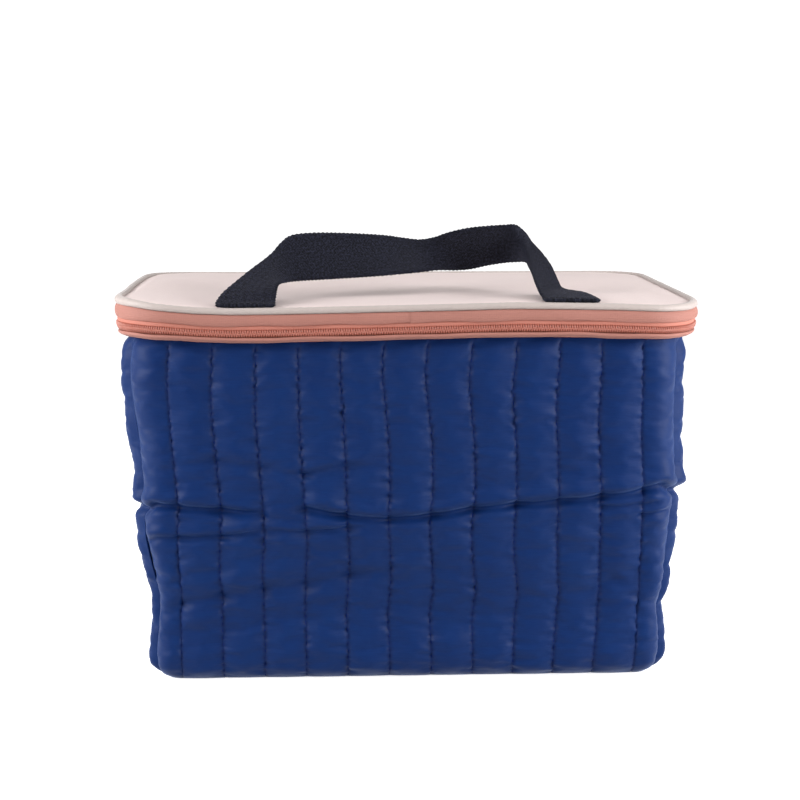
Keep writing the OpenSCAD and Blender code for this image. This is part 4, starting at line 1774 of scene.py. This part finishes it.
@dataclass(frozen=True)
class Lamp:
    """A soft rectangular lamp that points at the middle of the bag."""

    name: str
    place: tuple[float, float, float]
    aim: float
    size: tuple[float, float]
    watts: float

    def hang(self) -> None:
        """Puts the lamp in the room."""
        light = bpy.data.lights.new(self.name, "AREA")
        light.shape = "RECTANGLE"
        light.size, light.size_y = self.size
        light.energy = self.watts
        lamp = bpy.data.objects.new(self.name, light)
        lamp.location = self.place
        ahead = Vector((0, 0, self.aim)) - Vector(self.place)
        lamp.rotation_euler = ahead.to_track_quat("-Z", "Y").to_euler()
        lamp.visible_camera = False
        bpy.context.scene.collection.objects.link(lamp)


@dataclass(frozen=True)
class Studio:
    """A pale sweep, soft lamps and the camera."""

    camera_place: tuple[float, float, float] = (-0.029218, -0.740, 0.254921)
    yaw: float = 2.144
    down: float = 10.165
    lens: float = 66.67
    ambient: float = 0.23
    glow: float = 0.75
    half_width: float = 4.0
    front: float = -2.0
    bend_start: float = 1.4
    bend_length: float = 1.0
    lamps: tuple[Lamp, ...] = (
        Lamp("softbox", (-0.1, -0.45, 1.6), 0.12, (3.0, 2.4), 12.0),
        Lamp("left_window", (-0.62, -0.24, 0.32), 0.1, (0.4, 0.45), 5.6),
        Lamp("right_window", (0.56, -0.27, 0.27), 0.1, (0.4, 0.45), 5.2),
    )

    def floor(self) -> None:
        """Lays the floor, which turns up behind the bag."""
        mesh, u, v, _ = sheet_mesh("sweep", 8, 60)
        run = v * 6.0 + self.front
        turn = ramp(run - self.bend_start, self.bend_length) * math.pi / 2
        radius = self.bend_length / (math.pi / 2)
        y = np.minimum(run, self.bend_start) + radius * np.sin(turn)
        z = radius * (1 - np.cos(turn)) + np.maximum(run - self.bend_start - self.bend_length, 0)
        move_points(mesh, np.column_stack([(2 * u - 1) * self.half_width, y, z]))
        make = NodeMaker.material("pale_floor")
        seen = make.seen()
        grain = make.noise(make.coordinates(False), 0.02, 2.0)
        pale = make.mix(grain, (0.42, 0.42, 0.42), (0.46, 0.46, 0.46))
        lit = make.node("ShaderNodeBsdfDiffuse", None, {"Color": make.mix(seen, pale, (1.0, 1.0, 1.0))})
        glow = make.node("ShaderNodeEmission", None, {"Color": (1, 1, 1, 1), "Strength": seen * self.glow})
        both = make.node("ShaderNodeAddShader", None, {0: lit.outputs[0], 1: glow.outputs[0]})
        make.node("ShaderNodeOutputMaterial", None, {"Surface": both.outputs[0]})
        finished("floor_sweep", mesh, make.owner)

    def sky(self) -> None:
        """Fills the room with even light and shows white to the camera."""
        world = bpy.data.worlds.new("room")
        bpy.context.scene.world = world
        make = NodeMaker(world)
        strength = make.seen() * (1.0 - self.ambient) + self.ambient
        back = make.node("ShaderNodeBackground", None, {"Color": (1, 1, 1, 1), "Strength": strength})
        make.node("ShaderNodeOutputWorld", None, {"Surface": back.outputs[0]})

    def build(self) -> None:
        """Sets up the floor, the light and the camera."""
        scene = bpy.context.scene
        scene.view_settings.view_transform = "Standard"
        self.floor()
        self.sky()
        for lamp in self.lamps:
            lamp.hang()
        view = bpy.data.cameras.new("camera")
        view.lens = self.lens
        view.sensor_width = 36.0
        view.clip_start = 0.01
        camera = bpy.data.objects.new("camera", view)
        camera.location = self.camera_place
        camera.rotation_euler = (math.radians(90 - self.down), 0, math.radians(-self.yaw))
        scene.collection.objects.link(camera)
        scene.camera = camera


def main() -> None:
    """Builds the bag from its padded body to its handle."""
    logging.basicConfig(level=logging.INFO, format="%(name)s: %(message)s")
    Studio().build()
    finishes = Wardrobe()
    form = BagForm()
    form.wadding = QuiltSwatch()
    tailor = Tailor(form, finishes)
    for part in (QuiltedBody(tailor), Interior(tailor), Zip(tailor), Lid(tailor), Handle(tailor)):
        part.build()
    for node in ("slider_body", "slider_back_plate", "pull_tab"):
        dress_node(node, finishes.enamel)


if __name__ == "__main__":
    main()
